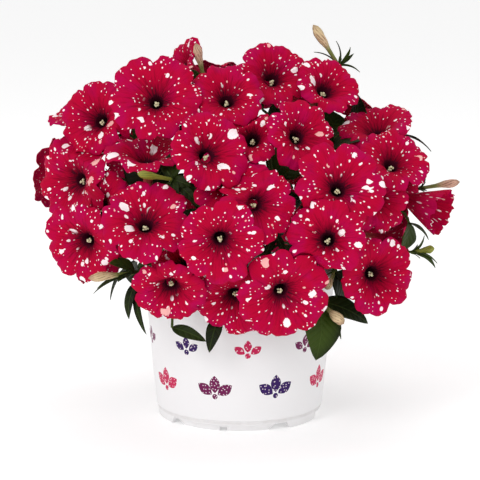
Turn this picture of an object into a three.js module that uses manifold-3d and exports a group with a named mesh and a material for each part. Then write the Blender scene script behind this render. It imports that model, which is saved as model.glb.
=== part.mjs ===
// A potted petunia in millimetres. X to the viewer's right, Y away from the viewer, Z up.
// The pot stands on the ground with the middle of its foot at the origin.
import * as THREE from 'three';
import { mergeVertices } from 'three/addons/utils/BufferGeometryUtils.js';
import Module from 'manifold-3d';

const wasm = await Module();
wasm.setup();
const { Manifold, Mesh } = wasm;
const { degToRad, lerp, clamp, smoothstep } = THREE.MathUtils;

const gap = 0.3;

// Pot
const potHeight = 108;
const potRimRadius = 71.2;
const potSides = 28;
const wallThickness = 1.3;
const footStepHeight = 8.6;
const footPeriod = 120;
// Lugs and skirts: turn of the first, degrees it spans at the top and at the bottom
const lugs = { turn: 51.5, topSpan: 35, bottomSpan: 27 };
const skirts = { turn: -11.5, topSpan: 77, bottomSpan: 66 };

// Soil and the stems standing in it
const soilTop = 97;
const stemCount = 8;
const stemRadius = 2.2;
const stemFoot = 86;
const stemTop = 214;
const stemSteps = [0, 0.15, 0.3, 0.45, 0.6, 0.8, 1];

// Bloom
const throatRadius = 5;
const tubeLength = 30;
const tubeRadius = 2;
const petalThickness = 0.9;
const midRing = 0.55;
const twigRadius = 1;

// Throat x, y, z, the way the bloom faces (azimuth to the right of the viewer, elevation),
// limb radius, turn about its own axis, and the funnel's depth and flare where they aren't the usual ones.
// A bloom stands in front of those after it, and they bend behind it.
const usualDepth = 11;
const usualFlare = 2.3;
const blooms = [
  [28, -104, 114, 14, -12, 32, 6],
  [-13, -120, 153, 2, -8, 28.5, 30],
  [60, -108, 150, -8, 18, 27, 50],
  [67, -95, 182, 10, 25, 30.5, 20],
  [-23, -92, 205, 20, 24, 27, 66],
  [10, -112, 175, 24, 10, 26.5, 12],
  [-47, -97, 117, -6, -26, 25, 40],
  [-64, -102, 158, 2, 38, 30, 10],
  [39, -72, 215, 24, 22, 25, 60],
  [-58, -52, 237, -4, 28, 31.5, 24],
  [92, -76, 120, 22, 2, 27, 8],
  [-9, -48, 237, 4, 40, 26, 56],
  [-106, -66, 142, -28, -8, 28.5, 36],
  [9, -72, 213, -5, 30, 20, 48],
  [107, -46, 191, 20, 44, 25.5, 64],
  [60, -22, 241, 24, 38, 23, 14],
  [-3, -92, 109, -6, -24, 27, 34],
  [-64, -62, 195, 2, 72, 28.5, 4],
  [-99, -20, 220, -28, 20, 27, 52],
  [121, -41, 166, 58, -14, 16, 18, 29, 0.8],
  [-4, -92, 186, -6, 16, 26.5, 44],
  [-113, -32, 179, -42, 4, 32.5, 0],
  [99, -14, 209, -30, 66, 27, 30],
  [23, -18, 249, 14, 36, 26, 10],
  [-37, -82, 125, -6, 10, 22, 68],
  [-97, -56, 163, -22, 28, 24, 26],
  [93, -66, 172, 26, 8, 24, 40],
  [113, -24, 176, 50, 20, 15, 2],
  [-35.5, -1, 255, -68, 28, 22, 16],
  [-113, 12, 212, -30, 78, 25, 46],
  [-133.5, 66, 168, -122, 6, 28, 20],
  [108, 18, 126, 98, -12, 30, 50],
  [84, 80, 124, 136, -14, 31, 15],
  [26, 112, 122, 168, -14, 31, 62],
  [-42, 108, 124, -158, -12, 31, 33],
  [-98, 62, 124, -122, -14, 31, 5],
  [-112, -8, 128, -88, -12, 28, 44],
  [114, 22, 174, 102, 10, 31, 28],
  [97, 70, 170, 126, 12, 31, 58],
  [50, 112, 172, 156, 10, 31, 9],
  [-14, 116, 174, -174, 12, 31, 37],
  [-74, 94, 172, -142, 10, 31, 66],
  [84, 40, 214, 116, 46, 30, 42],
  [42, 80, 216, 150, 48, 31, 18],
  [-18, 86, 216, -170, 46, 31, 52],
  [-76, 58, 214, -126, 46, 31, 12],
  [42, 30, 238, 128, 66, 28, 30],
  [-22, 50, 237, -160, 62, 28, 60],
  [-74, 18, 234, -84, 58, 27, 34],
  [4, 4, 242, 60, 80, 24, 8],
];

// Sprays of leaves and buds seen from in front: the foot x, y, z they share,
// then tip x, y, z and width of each leaf, and tip x, y, z and head radius of each bud.
const sprays = [
  { foot: [-72, -78, 114], leaves: [[-77, -84, 89, 9], [-65, -84, 78, 6]] },
  {
    foot: [-72, -78, 121],
    leaves: [[-102, -78, 106, 3], [-100, -70, 108, 3], [-90, -90, 130, 14], [-84, -90, 117, 11]],
    buds: [[-104, -93, 120, 3.2]],
  },
  { foot: [-47, -84, 83], leaves: [[-23, -92, 75, 9]] },
  { foot: [-14, -80, 90], leaves: [[-21, -92, 67, 11]] },
  {
    foot: [56, -82, 101],
    leaves: [[53, -98, 63, 29], [90, -80, 85, 17], [71, -86, 75, 5]],
    buds: [[72, -98, 89, 3.6]],
  },
  { foot: [67, -74, 121], leaves: [[93, -84, 97, 18], [72, -70, 98, 24]], buds: [[60, -86, 111, 3.2]] },
  { foot: [121, -43, 150], leaves: [[114, -46, 129, 20], [135, -44, 138, 6]] },
  {
    foot: [124, -44, 129],
    leaves: [[140, -46, 118, 10], [142, -40, 120, 3], [132, -44, 141, 3]],
    buds: [[139, -46, 132, 2.8]],
  },
  { foot: [131, -18, 171], leaves: [[132, -26, 186, 3]], buds: [[159, -20, 176, 3]] },
  { foot: [114, -2, 208], leaves: [[139, -12, 197, 9]] },
  { foot: [82, 10, 216], leaves: [[87, 4, 236, 24]] },
  {
    foot: [72, 2, 258],
    leaves: [[70, -2, 276, 3], [80, -6, 272, 3], [83, 0, 267, 3], [54, 0, 268, 3], [87, -6, 254, 4]],
    buds: [[53, -8, 288, 3.4]],
  },
  { foot: [-25, -16, 248], leaves: [[-35, -31, 258, 5]], buds: [[-31, -22, 276, 3.2]] },
  {
    foot: [-46, -84, 187.5],
    leaves: [[-44, -66, 205, 16], [-42, -92, 174, 8], [-33, -88, 183, 9], [-25, -86, 173, 6], [-22, -90, 166, 7]],
    buds: [[-69, -100, 194, 2.8]],
  },
  { foot: [24, -84, 150], leaves: [[17, -88, 133, 7], [31, -88, 136, 6]] },
  { foot: [58, -26, 194], leaves: [[86, -36, 208, 24]] },
  { foot: [27, -58, 182], leaves: [[35, -64, 191, 7], [38, -62, 178, 6]] },
];

const vec = (x, y, z) => new THREE.Vector3(x, y, z);
const polar = (radius, degrees, z) => {
  const a = degToRad(degrees);
  return vec(radius * Math.sin(a), -radius * Math.cos(a), z);
};
const along = (point, direction, distance) => point.clone().addScaledVector(direction, distance);

function solid(points, faces) {
  const vertProperties = new Float32Array(points.flatMap((p) => [p.x, p.y, p.z]));
  const triVerts = new Uint32Array(faces.flat());
  return new Manifold(new Mesh({ numProp: 3, vertProperties, triVerts }));
}

// A closed skin over rings of equally many points, with a flat fan at either end.
function loft(rings) {
  const n = rings[0].length;
  const points = rings.flat();
  const faces = [];
  for (let j = 0; j + 1 < rings.length; j += 1) {
    for (let i = 0; i < n; i += 1) {
      const a = j * n + i;
      const b = j * n + ((i + 1) % n);
      faces.push([a, b, b + n], [a, b + n, a + n]);
    }
  }
  const top = (rings.length - 1) * n;
  if (n < 8) {
    for (let i = 1; i + 1 < n; i += 1) faces.push([0, i + 1, i], [top, top + i, top + i + 1]);
    return outward(points, faces);
  }
  const middle = (ring) => ring.reduce((sum, p) => sum.add(p), vec(0, 0, 0)).divideScalar(n);
  const first = points.push(middle(rings[0])) - 1;
  const last = points.push(middle(rings[rings.length - 1])) - 1;
  for (let i = 0; i < n; i += 1) {
    const next = (i + 1) % n;
    faces.push([first, next, i], [last, top + i, top + next]);
  }
  return outward(points, faces);
}

// The same solid with its faces turned outwards, whichever way its rings ran.
function outward(points, faces) {
  let volume = 0;
  for (const [a, b, c] of faces) volume += points[a].dot(points[b].clone().cross(points[c]));
  return solid(points, volume > 0 ? faces : faces.map(([a, b, c]) => [a, c, b]));
}

// The rings of a round bar along a path, its sides kept from twisting.
function barRings(path, radii, sides) {
  let side = null;
  return path.map((point, i) => {
    const ahead = path[Math.min(i + 1, path.length - 1)];
    const behind = path[Math.max(i - 1, 0)];
    const run = ahead.clone().sub(behind).normalize();
    side ??= Math.abs(run.z) > 0.8 ? vec(1, 0, 0) : vec(0, 0, 1);
    side = side.clone().addScaledVector(run, -side.dot(run)).normalize();
    const other = run.clone().cross(side);
    return Array.from({ length: sides }, (_, k) => {
      const a = (2 * Math.PI * k) / sides;
      const out = side.clone().multiplyScalar(Math.cos(a)).addScaledVector(other, Math.sin(a));
      return along(point, out, radii[i]);
    });
  });
}

const bar = (path, radii, sides) => loft(barRings(path, radii, sides));

const lathe = (profile, sides) =>
  loft(profile.map(([r, z]) => Array.from({ length: sides }, (_, i) => polar(r, (360 * i) / sides, z))));

// Pot

// A block standing under the foot: its section swept round part of a turn, narrower below.
function footBlock(section, centre, topSpan, bottomSpan, steps) {
  const height = Math.max(...section.map(([, z]) => z));
  const rings = Array.from({ length: steps + 1 }, (_, i) => {
    const f = i / steps - 0.5;
    return section.map(([r, z]) => polar(r, centre + f * lerp(bottomSpan, topSpan, z / height), z));
  });
  return loft(rings);
}

function buildPot() {
  const profile = [
    [60.9, 5],
    [60.9, footStepHeight - 0.2],
    [61.9, footStepHeight],
    [69.8, 97.6],
    [potRimRadius, 98.6],
    [potRimRadius, potHeight],
    [potRimRadius - 1.8, potHeight],
    [69.8 - wallThickness, 98],
    [58.9, 6.6],
  ];
  let pot = lathe(profile, potSides);
  const lug = [[60.5, 6.2], [60.4, 1.2], [59.6, 0], [57, 0], [56.4, 6.2]];
  const skirt = [[59.7, 6.2], [56.4, 0], [54.8, 0], [57.6, 6.2]];
  for (let k = 0; k < 3; k += 1) {
    pot = pot.add(footBlock(lug, lugs.turn + footPeriod * k, lugs.topSpan, lugs.bottomSpan, 4));
    const turn = skirts.turn + footPeriod * k;
    let segment = footBlock(skirt, turn, skirts.topSpan, skirts.bottomSpan, 7);
    const notch = polar(57, turn, 0);
    segment = segment.subtract(
      Manifold.cube([5.5, 12, 7], true).rotate([0, 0, turn]).translate([notch.x, notch.y, 0]),
    );
    pot = pot.add(segment);
  }
  for (let k = 0; k < 4; k += 1) {
    const hole = polar(36, 90 * k + 17, 2);
    pot = pot.subtract(Manifold.cylinder(8, 4, 4, 6).translate([hole.x, hole.y, hole.z]));
  }
  return pot;
}

// Soil

const stemAzimuth = (k) => (360 / stemCount) * (k + 0.5);

function stemPoint(k, u) {
  const radius = 24 + 36 * Math.sin(Math.PI * 0.62 * u);
  return polar(radius, stemAzimuth(k) + 5 * Math.sin(4 * u + k), lerp(stemFoot, stemTop, u));
}

// The same place on the straight lengths that a main stem is made of.
function stemAxis(k, u) {
  const i = Math.max(1, stemSteps.findIndex((step) => step >= u));
  const [from, to] = [stemSteps[i - 1], stemSteps[i]];
  return stemPoint(k, from).lerp(stemPoint(k, to), (u - from) / (to - from));
}

function buildSoil() {
  const profile = [
    [58.5, 6.6 + gap],
    [67.9, soilTop - 1],
    [46, soilTop + 1],
  ];
  let soil = lathe(profile, potSides);
  for (let k = 0; k < stemCount; k += 1) {
    const path = [0, 0.15].map((u) => stemPoint(k, u));
    path[0] = along(path[0], path[1].clone().sub(path[0]).normalize(), -gap);
    soil = soil.subtract(bar(path, [stemRadius * 1.35, stemRadius * 1.35], 6));
  }
  return soil;
}

// Blooms

function bloomFrame([x, y, z, azimuth, elevation]) {
  const a = degToRad(azimuth);
  const e = degToRad(elevation);
  const face = vec(Math.sin(a) * Math.cos(e), -Math.cos(a) * Math.cos(e), Math.sin(e));
  const right = vec(Math.cos(a), Math.sin(a), 0);
  return { at: vec(x, y, z), face, right, up: face.clone().cross(right) };
}

// How far the rim of the limb reaches at an angle: five lobes with shallow notches between.
function rimRadius(bloom, index, degrees) {
  const turn = (((degrees - bloom[6]) % 360) + 360) % 360;
  const lobe = Math.floor(turn / 72);
  const t = turn / 72 - lobe;
  const notch = 0.13 * Math.abs(2 * t - 1) ** 5;
  const dent = 0.05 * (1 - Math.abs(Math.sin(2 * Math.PI * t))) ** 2;
  const size = 1 + 0.05 * Math.sin(2.1 * index + 1.7 * lobe) * Math.sin(Math.PI * t);
  return bloom[5] * (1.02 - notch - dent) * size;
}

// Height of the limb over the throat, from 0 at the throat to 1 at the rim.
function limbHeight(bloom, index, s, degrees) {
  const turn = degToRad(degrees - bloom[6]);
  const depth = bloom[7] ?? usualDepth;
  const funnel = depth * (1 - (1 - s) ** (bloom[8] ?? usualFlare)) - 2.4 * s ** 5;
  const ruffle = Math.sin(5 * turn + 1.9 * index) + 0.7 * Math.sin(8 * turn + 2.7 * index);
  return funnel + 0.036 * bloom[5] * ruffle * s ** 2.5 + 0.8 * s * s * Math.cos(5 * turn);
}

function limbPoint(bloom, index, frame, s, degrees) {
  const a = degToRad(degrees);
  const radius = lerp(throatRadius, rimRadius(bloom, index, degrees), s);
  const height = limbHeight(bloom, index, s, degrees);
  const point = along(frame.at, frame.right, radius * Math.cos(a));
  point.addScaledVector(frame.up, radius * Math.sin(a));
  return point.addScaledVector(frame.face, height);
}

// How much a finished bloom's limb was bent back at a place on it.
function bentBack(drops, s, degrees) {
  const pick = (list) => {
    const f = ((((degrees - list.turn) % 360) + 360) % 360) / (360 / list.length);
    const i = Math.floor(f) % list.length;
    return lerp(list[i], list[(i + 1) % list.length], f - Math.floor(f));
  };
  const middle = pick(drops.middle);
  if (s < midRing) return (middle * s) / midRing;
  return lerp(middle, pick(drops.rim), clamp((s - midRing) / (1 - midRing), 0, 1));
}

// A point of a limb, pushed back behind every bloom that stands in front of it.
function bend(point, s, front) {
  const weight = smoothstep(s, 0.05, 0.5);
  for (const other of front) {
    const { bloom, index, frame, drops } = other;
    const offset = point.clone().sub(frame.at);
    const x = offset.dot(frame.right);
    const y = offset.dot(frame.up);
    const z = offset.dot(frame.face);
    const radius = Math.hypot(x, y);
    const degrees = THREE.MathUtils.radToDeg(Math.atan2(y, x));
    const rim = rimRadius(bloom, index, degrees);
    if (radius > rim + 14 || z < -20) continue;
    const t = clamp((radius - throatRadius) / (rim - throatRadius), 0, 1);
    const skin = limbHeight(bloom, index, t, degrees) + bentBack(drops, t, degrees);
    const limit = skin - 2.6 + 1.4 * Math.max(0, radius - rim);
    const over = clamp(z - limit, 0, 24);
    point.addScaledVector(frame.face, -over * weight);
  }
  return point;
}

function ringOf(count, turn, make) {
  return Array.from({ length: count }, (_, i) => make(turn + (360 * i) / count));
}

const rimSteps = [0, 13, 36, 59];
const rimAngles = (turn) => Array.from({ length: 20 }, (_, i) => turn + 72 * Math.floor(i / 4) + rimSteps[i % 4]);

function layBlooms() {
  const laid = [];
  blooms.forEach((bloom, index) => {
    const frame = bloomFrame(bloom);
    const turn = bloom[6];
    const place = (s) => (degrees) => bend(limbPoint(bloom, index, frame, s, degrees), s, laid);
    const drop = (s) => (degrees) => {
      const flat = limbPoint(bloom, index, frame, s, degrees);
      return bend(flat.clone(), s, laid).sub(flat).dot(frame.face);
    };
    const middle = ringOf(20, turn, drop(midRing));
    const rim = ringOf(20, turn, drop(1));
    middle.turn = turn;
    rim.turn = turn;
    laid.push({
      bloom,
      index,
      frame,
      drops: { middle, rim },
      rings: [ringOf(5, turn, place(0)), ringOf(10, turn, place(midRing)), rimAngles(turn).map(place(1))],
    });
  });
  return laid;
}

// One bloom as a closed solid. With room, it is that much bigger all round.
function bloomSolid({ frame, rings }, room = 0) {
  const [throat, middle, rim] = rings;
  const half = petalThickness / 2 + room;
  const sheet = [...throat, ...middle, ...rim];
  const faces = [];
  for (let i = 0; i < 5; i += 1) {
    const next = (i + 1) % 5;
    const [a, b, c] = [5 + 2 * i, 6 + 2 * i, 5 + 2 * next];
    faces.push([i, a, b], [i, b, next], [next, b, c]);
    for (const [from, to, edge] of [[a, b, 15 + 4 * i], [b, c, 17 + 4 * i]]) {
      const edgeEnd = 15 + ((edge - 13) % 20);
      faces.push([from, edge, edge + 1], [from, edge + 1, to], [to, edge + 1, edgeEnd]);
    }
  }
  const normals = sheet.map(() => vec(0, 0, 0));
  for (const [a, b, c] of faces) {
    const n = sheet[b].clone().sub(sheet[a]).cross(sheet[c].clone().sub(sheet[a]));
    for (const k of [a, b, c]) normals[k].add(n);
  }
  normals.forEach((n) => n.normalize());
  const spread = (p, k) => {
    if (k < 15) return p;
    const inner = middle[Math.floor((k - 15) / 2)];
    return along(p, p.clone().sub(inner).normalize(), room);
  };
  const front = sheet.map((p, k) => along(spread(p, k), normals[k], half));
  const back = sheet.map((p, k) => along(spread(p, k), normals[k], -half));
  const n = sheet.length;
  const points = [...front, ...back];
  const all = [...faces, ...faces.map(([a, b, c]) => [a + n, c + n, b + n])];
  for (let i = 0; i < 20; i += 1) {
    const a = 15 + i;
    const b = 15 + ((i + 1) % 20);
    all.push([a, a + n, b + n], [a, b + n, b]);
  }
  const pit = points.push(along(frame.at, frame.face, -9)) - 1;
  const end = points.length;
  for (const corner of throat) {
    const spoke = corner.clone().sub(frame.at);
    spoke.addScaledVector(frame.face, -spoke.dot(frame.face)).normalize();
    points.push(along(along(frame.at, frame.face, -tubeLength - room), spoke, tubeRadius + room));
  }
  for (let i = 0; i < 5; i += 1) {
    const next = (i + 1) % 5;
    all.push([pit, i, next], [n + i, end + i, end + next], [n + i, end + next, n + next]);
  }
  for (let i = 1; i < 4; i += 1) all.push([end, end + 1 + i, end + i]);
  return outward(points, all);
}

// Green parts

const sectorOf = (point) => {
  const degrees = THREE.MathUtils.radToDeg(Math.atan2(point.x, -point.y));
  return Math.floor(((((degrees % 360) + 360) % 360) * stemCount) / 360);
};

// The rings of a thin stalk that leaves its foot backwards and reaches the main stem of a sector.
function stalkRings(foot, back, k) {
  const u = clamp((foot.z - 20 - stemFoot) / (stemTop - stemFoot), 0.16, 1);
  const heart = stemAxis(k, u);
  const end = along(heart, foot.clone().sub(heart).normalize(), 0.2);
  const overRim = foot.z < potHeight + 4;
  const bendAt = overRim
    ? vec(foot.x, foot.y, potHeight + 32)
    : along(foot, back, foot.distanceTo(end) * 0.35);
  const curve = new THREE.QuadraticBezierCurve3(foot, bendAt, end);
  const straight = end.clone().sub(foot).normalize().dot(back) > 0.4;
  const steps = straight && !overRim && foot.distanceTo(end) < 32 ? 1 : 2;
  return barRings(curve.getPoints(steps), Array(steps + 1).fill(twigRadius), 3);
}

// The cup of five sepals that a bloom's tube or a bud stands in, with its stalk if it has rings.
function calyx(foot, face, scale = 1, rings = null) {
  const right = (Math.abs(face.z) > 0.9 ? vec(1, 0, 0) : vec(0, 0, 1)).cross(face).normalize();
  const up = face.clone().cross(right);
  const ringPoint = (degrees, radius, height) => {
    const a = degToRad(degrees);
    const point = along(foot, right, radius * scale * Math.cos(a));
    point.addScaledVector(up, radius * scale * Math.sin(a));
    return point.addScaledVector(face, height * scale);
  };
  const points = [along(foot, face, 0), along(foot, face, -4.2 * scale)];
  for (let i = 0; i < 5; i += 1) {
    points.push(ringPoint(72 * i, 2.5, 0), ringPoint(72 * i, 2.1, -1.8), ringPoint(72 * i + 36, 7.6, 4.6));
  }
  const faces = [];
  for (let i = 0; i < 5; i += 1) {
    const a = 2 + 3 * i;
    const b = 2 + 3 * ((i + 1) % 5);
    faces.push([0, a, b], [a, a + 2, b], [a, a + 1, a + 2], [b, a + 2, b + 1], [a + 1, b + 1, a + 2]);
    if (!rings) faces.push([1, b + 1, a + 1]);
  }
  if (!rings) return outward(points, faces);
  // Each side of the stalk starts at the sepal foot next to it.
  const start = points.length;
  points.push(...rings.flat());
  const angleOf = (p) => Math.atan2(p.clone().sub(foot).dot(up), p.clone().sub(foot).dot(right));
  const turnOf = (p) => (THREE.MathUtils.radToDeg(angleOf(p)) + 360) % 360;
  const forwards = (turnOf(points[start + 1]) - turnOf(points[start]) + 360) % 360 < 180;
  const order = forwards ? [0, 1, 2] : [0, 2, 1];
  const ids = (j) => order.map((i) => start + 3 * j + i);
  const first = ids(0);
  const near = first.map((id) => Math.round(turnOf(points[id]) / 72) % 5);
  for (let i = 0; i < 3; i += 1) {
    const next = (i + 1) % 3;
    const steps = (near[next] - near[i] + 5) % 5;
    for (let j = 0; j < steps; j += 1) {
      const a = 3 + 3 * ((near[i] + j) % 5);
      const b = 3 + 3 * ((near[i] + j + 1) % 5);
      faces.push([b, a, first[i]]);
    }
    faces.push([3 + 3 * near[next], first[i], first[next]]);
  }
  for (let j = 0; j + 1 < rings.length; j += 1) {
    const upper = ids(j);
    const lower = ids(j + 1);
    for (let i = 0; i < 3; i += 1) {
      const next = (i + 1) % 3;
      faces.push([upper[i], lower[i], lower[next]], [upper[i], lower[next], upper[next]]);
    }
  }
  const [a, b, c] = ids(rings.length - 1);
  faces.push([a, c, b]);
  return outward(points, faces);
}

function leaf(foot, tip, width) {
  const run = tip.clone().sub(foot);
  const length = run.length();
  run.normalize();
  const sky = vec(foot.x, foot.y, 0).normalize().multiplyScalar(0.8).add(vec(0, 0, 0.6));
  const side = run.clone().cross(sky).normalize();
  const face = side.clone().cross(run);
  const slim = width < 4.5;
  const folded = width > 12;
  const stations = slim ? [[0.45, 0.5]] : [[0.3, 0.48], [0.62, 0.4]];
  const rows = [[0, 0.5 / width], ...stations];
  const across = folded ? [-1, 0, 1] : [-1, 1];
  const middle = (t) => along(along(foot, run, length * t), face, 0.12 * length * 4 * t * (1 - t));
  const sheet = rows.flatMap(([t, w]) => across.map((s) =>
    along(along(middle(t), side, s * w * width), face, Math.abs(s) * 0.14 * width * w)));
  sheet.push(middle(1));
  const n = across.length;
  const tipAt = n * rows.length;
  const count = tipAt + 1;
  const faces = [];
  for (let j = 0; j < rows.length; j += 1) {
    for (let i = 0; i + 1 < n; i += 1) {
      const a = n * j + i;
      if (j + 1 < rows.length) faces.push([a, a + 1, a + n + 1], [a, a + n + 1, a + n]);
      else faces.push([a, a + 1, tipAt]);
    }
  }
  const points = [...sheet.map((p) => along(p, face, 0.4)), ...sheet.map((p) => along(p, face, -0.4))];
  const all = [...faces, ...faces.map(([a, b, c]) => [a + count, c + count, b + count])];
  const right = rows.map((_, j) => n * j + n - 1);
  const left = rows.map((_, j) => n * j).reverse();
  const border = [...(folded ? [0, 1] : [0]), ...right, tipAt, ...left.slice(0, -1)];
  border.forEach((a, i) => {
    const b = border[(i + 1) % border.length];
    all.push([b, a, a + count], [b, a + count, b + count]);
  });
  return outward(points, all);
}

function bud(foot, tip, head) {
  const run = tip.clone().sub(foot);
  const path = [0, 0.42, 0.78, 1].map((t) => along(foot, run, t));
  return bar(path, [1.3, 1.6, head, 0.7], 5);
}

// Pairs of leaves that hang over the rim of the pot at the sides and the back.
function rimSprays() {
  const pairs = [];
  for (let degrees = 76; degrees < 290; degrees += 36) {
    const sway = 8 * Math.sin(degrees);
    const foot = polar(77, degrees, 112).toArray();
    const tips = [-15, 13].map((turn) => polar(102 + 0.5 * sway, degrees + turn + sway, 86 + 0.6 * sway));
    pairs.push({ foot, leaves: tips.map((tip) => [...tip.toArray(), 18 + 0.3 * sway]) });
  }
  return pairs;
}

// Leaves that fill the inside of the plant: from how many of the main stems, how far up them,
// and the reach, turn, rise and width of the leaf. A bloom's tube fills the last place at the top.
const innerLevels = [
  { stems: 8, up: 0.3, reach: 94, turn: 12, rise: 4, width: 27, frontWidth: 17 },
  { stems: 8, up: 0.62, reach: 86, turn: -9, rise: 24, width: 27, frontWidth: 22 },
  { stems: 7, up: 0.94, reach: 78, turn: -14, rise: 12, width: 26, frontWidth: 24 },
  { stems: 8, up: 0.45, reach: 64, turn: -26, rise: 10, width: 27, frontWidth: 24 },
  { stems: 8, up: 0.78, reach: 60, turn: 28, rise: 16, width: 27, frontWidth: 24 },
];

function innerSprays() {
  return innerLevels.flatMap((level) => Array.from({ length: level.stems }, (_, i) => {
    const k = stemCount - 1 - i;
    const foot = stemAxis(k, level.up);
    const tip = polar(level.reach, stemAzimuth(k) + level.turn, foot.z + level.rise);
    const width = tip.y > -40 ? level.width : level.frontWidth;
    return { stem: k, foot: foot.toArray(), leaves: [[...tip.toArray(), width]] };
  }));
}

function buildStems(laid) {
  const parts = Array.from({ length: stemCount }, (_, k) => {
    const radii = stemSteps.map((u) => lerp(stemRadius, 1.3, u));
    return [bar(stemSteps.map((u) => stemPoint(k, u)), radii, 4)];
  });
  for (const { frame } of laid) {
    const seat = along(frame.at, frame.face, -tubeLength - 2 * gap);
    const k = sectorOf(seat);
    const rings = stalkRings(along(seat, frame.face, -4), frame.face.clone().negate(), k);
    parts[k].push(calyx(seat, frame.face, 1, rings));
  }
  for (const spray of [...sprays, ...rimSprays(), ...innerSprays()]) {
    const foot = vec(...spray.foot);
    const tips = [...spray.leaves, ...(spray.buds ?? [])];
    const mean = tips.reduce((sum, [x, y, z]) => sum.add(vec(x, y, z)), vec(0, 0, 0)).divideScalar(tips.length);
    const back = foot.clone().sub(mean).normalize();
    const k = spray.stem ?? sectorOf(foot);
    const node = parts[k];
    if (spray.stem === undefined) node.push(loft(stalkRings(along(foot, back, -1), back, k)));
    for (const [x, y, z, width] of spray.leaves) node.push(leaf(foot, vec(x, y, z), width));
    for (const [x, y, z, head] of spray.buds ?? []) {
      const run = vec(x, y, z).sub(foot).normalize();
      node.push(calyx(along(foot, run, 1), run, 0.7), bud(foot, vec(x, y, z), head));
    }
  }
  return parts.map((pieces) => Manifold.union(pieces));
}

// Everything

const biggest = (shape) => shape.decompose().reduce((a, b) => (b.volume() > a.volume() ? b : a));

function boxesMeet(a, b) {
  return [0, 1, 2].every((k) => a.min[k] < b.max[k] && b.min[k] < a.max[k]);
}

function geometryOf(shape) {
  const { vertProperties, triVerts, numProp } = shape.getMesh();
  const position = new Float32Array((vertProperties.length / numProp) * 3);
  for (let i = 0; i < position.length / 3; i += 1) {
    position.set(vertProperties.subarray(i * numProp, i * numProp + 3), i * 3);
  }
  const geometry = new THREE.BufferGeometry();
  geometry.setAttribute('position', new THREE.BufferAttribute(position, 3));
  geometry.setIndex(new THREE.BufferAttribute(new Uint32Array(triVerts), 1));
  return mergeVertices(geometry, 1e-3);
}

// What is left of a shape in one piece, with its crumbs and its closest corners gone.
function settle(shape) {
  const geometry = geometryOf(biggest(shape));
  const vertProperties = geometry.attributes.position.array;
  const triVerts = new Uint32Array(geometry.index.array);
  return biggest(new Manifold(new Mesh({ numProp: 3, vertProperties, triVerts })));
}

function carve(shape, cutters, tolerance) {
  let rest = shape;
  for (const cutter of cutters) {
    if (boxesMeet(rest.boundingBox(), cutter.boundingBox())) rest = rest.subtract(cutter);
  }
  return settle(biggest(rest).simplify(tolerance));
}

function meshOf(name, shape, colour) {
  const mesh = new THREE.Mesh(geometryOf(shape), new THREE.MeshStandardMaterial({ color: colour, roughness: 0.6 }));
  mesh.name = name;
  return mesh;
}

const group = new THREE.Group();
const pot = buildPot();
const soil = buildSoil();
group.add(meshOf('pot', pot, 0xf2f1f2), meshOf('soil', soil, 0x2c1e14));

const laid = layBlooms();
const cutters = [];
laid.forEach((one) => {
  const shape = carve(bloomSolid(one), cutters, 0.1);
  group.add(meshOf(`bloom_${one.index + 1}`, shape, 0xc4003f));
  cutters.push(bloomSolid(one, gap + 0.05));
});

buildStems(laid).forEach((stem, k) => {
  const shape = carve(stem, cutters, 0.2);
  group.add(meshOf(`stem_${k + 1}`, shape, 0x2f4a12));
});

export default group;
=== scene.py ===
import math
import bmesh
import bpy
import numpy as np
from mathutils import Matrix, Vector


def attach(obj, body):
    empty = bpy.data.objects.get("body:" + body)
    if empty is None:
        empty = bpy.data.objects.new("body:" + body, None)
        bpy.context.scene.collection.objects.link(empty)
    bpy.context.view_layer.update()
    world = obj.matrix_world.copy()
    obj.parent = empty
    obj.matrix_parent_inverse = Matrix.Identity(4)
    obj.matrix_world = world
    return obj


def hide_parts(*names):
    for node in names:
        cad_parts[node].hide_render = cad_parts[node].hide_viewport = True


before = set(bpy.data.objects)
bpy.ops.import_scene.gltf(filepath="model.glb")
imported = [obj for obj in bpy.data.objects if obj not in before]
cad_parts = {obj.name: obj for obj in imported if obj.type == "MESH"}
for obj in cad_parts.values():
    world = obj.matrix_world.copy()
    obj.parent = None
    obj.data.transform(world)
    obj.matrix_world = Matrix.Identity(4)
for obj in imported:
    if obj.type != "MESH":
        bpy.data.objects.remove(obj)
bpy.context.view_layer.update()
mm = 0.001
# For Map Range nodes, which here all change softly
smooth = {"interpolation_type": "SMOOTHSTEP"}

# Shared helpers


def linear(hexColour):
    parts = [int(hexColour[i:i + 2], 16) / 255 for i in (0, 2, 4)]
    return tuple(c / 12.92 if c <= 0.04045 else ((c + 0.055) / 1.055) ** 2.4 for c in parts) + (1.0,)


# Inputs are a list, or a dictionary by socket, of values, sockets and nodes. A node gives its first output in use.
def setInputs(tree, node, inputs):
    for key, value in inputs.items() if isinstance(inputs, dict) else enumerate(inputs):
        if isinstance(value, bpy.types.Node):
            value = next(output for output in value.outputs if output.enabled)
        if isinstance(value, bpy.types.NodeSocket):
            tree.links.new(value, node.inputs[key])
        else:
            node.inputs[key].default_value = value


def addNode(tree, kind, inputs=(), **settings):
    node = tree.nodes.new(kind)
    for name, value in settings.items():
        setattr(node, name, value)
    setInputs(tree, node, inputs)
    return node


def newMaterial(name):
    material = bpy.data.materials.new(name)
    material.use_nodes = True
    tree = material.node_tree
    return material, tree, tree.nodes["Principled BSDF"]


def addObject(name, data):
    obj = bpy.data.objects.new(name, data)
    bpy.context.scene.collection.objects.link(obj)
    return obj


# Points and faces gathered for one object before it is made
def newBin():
    return {"points": [], "faces": [], "slots": [], "plane": [], "polar": [], "count": 0}


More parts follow.
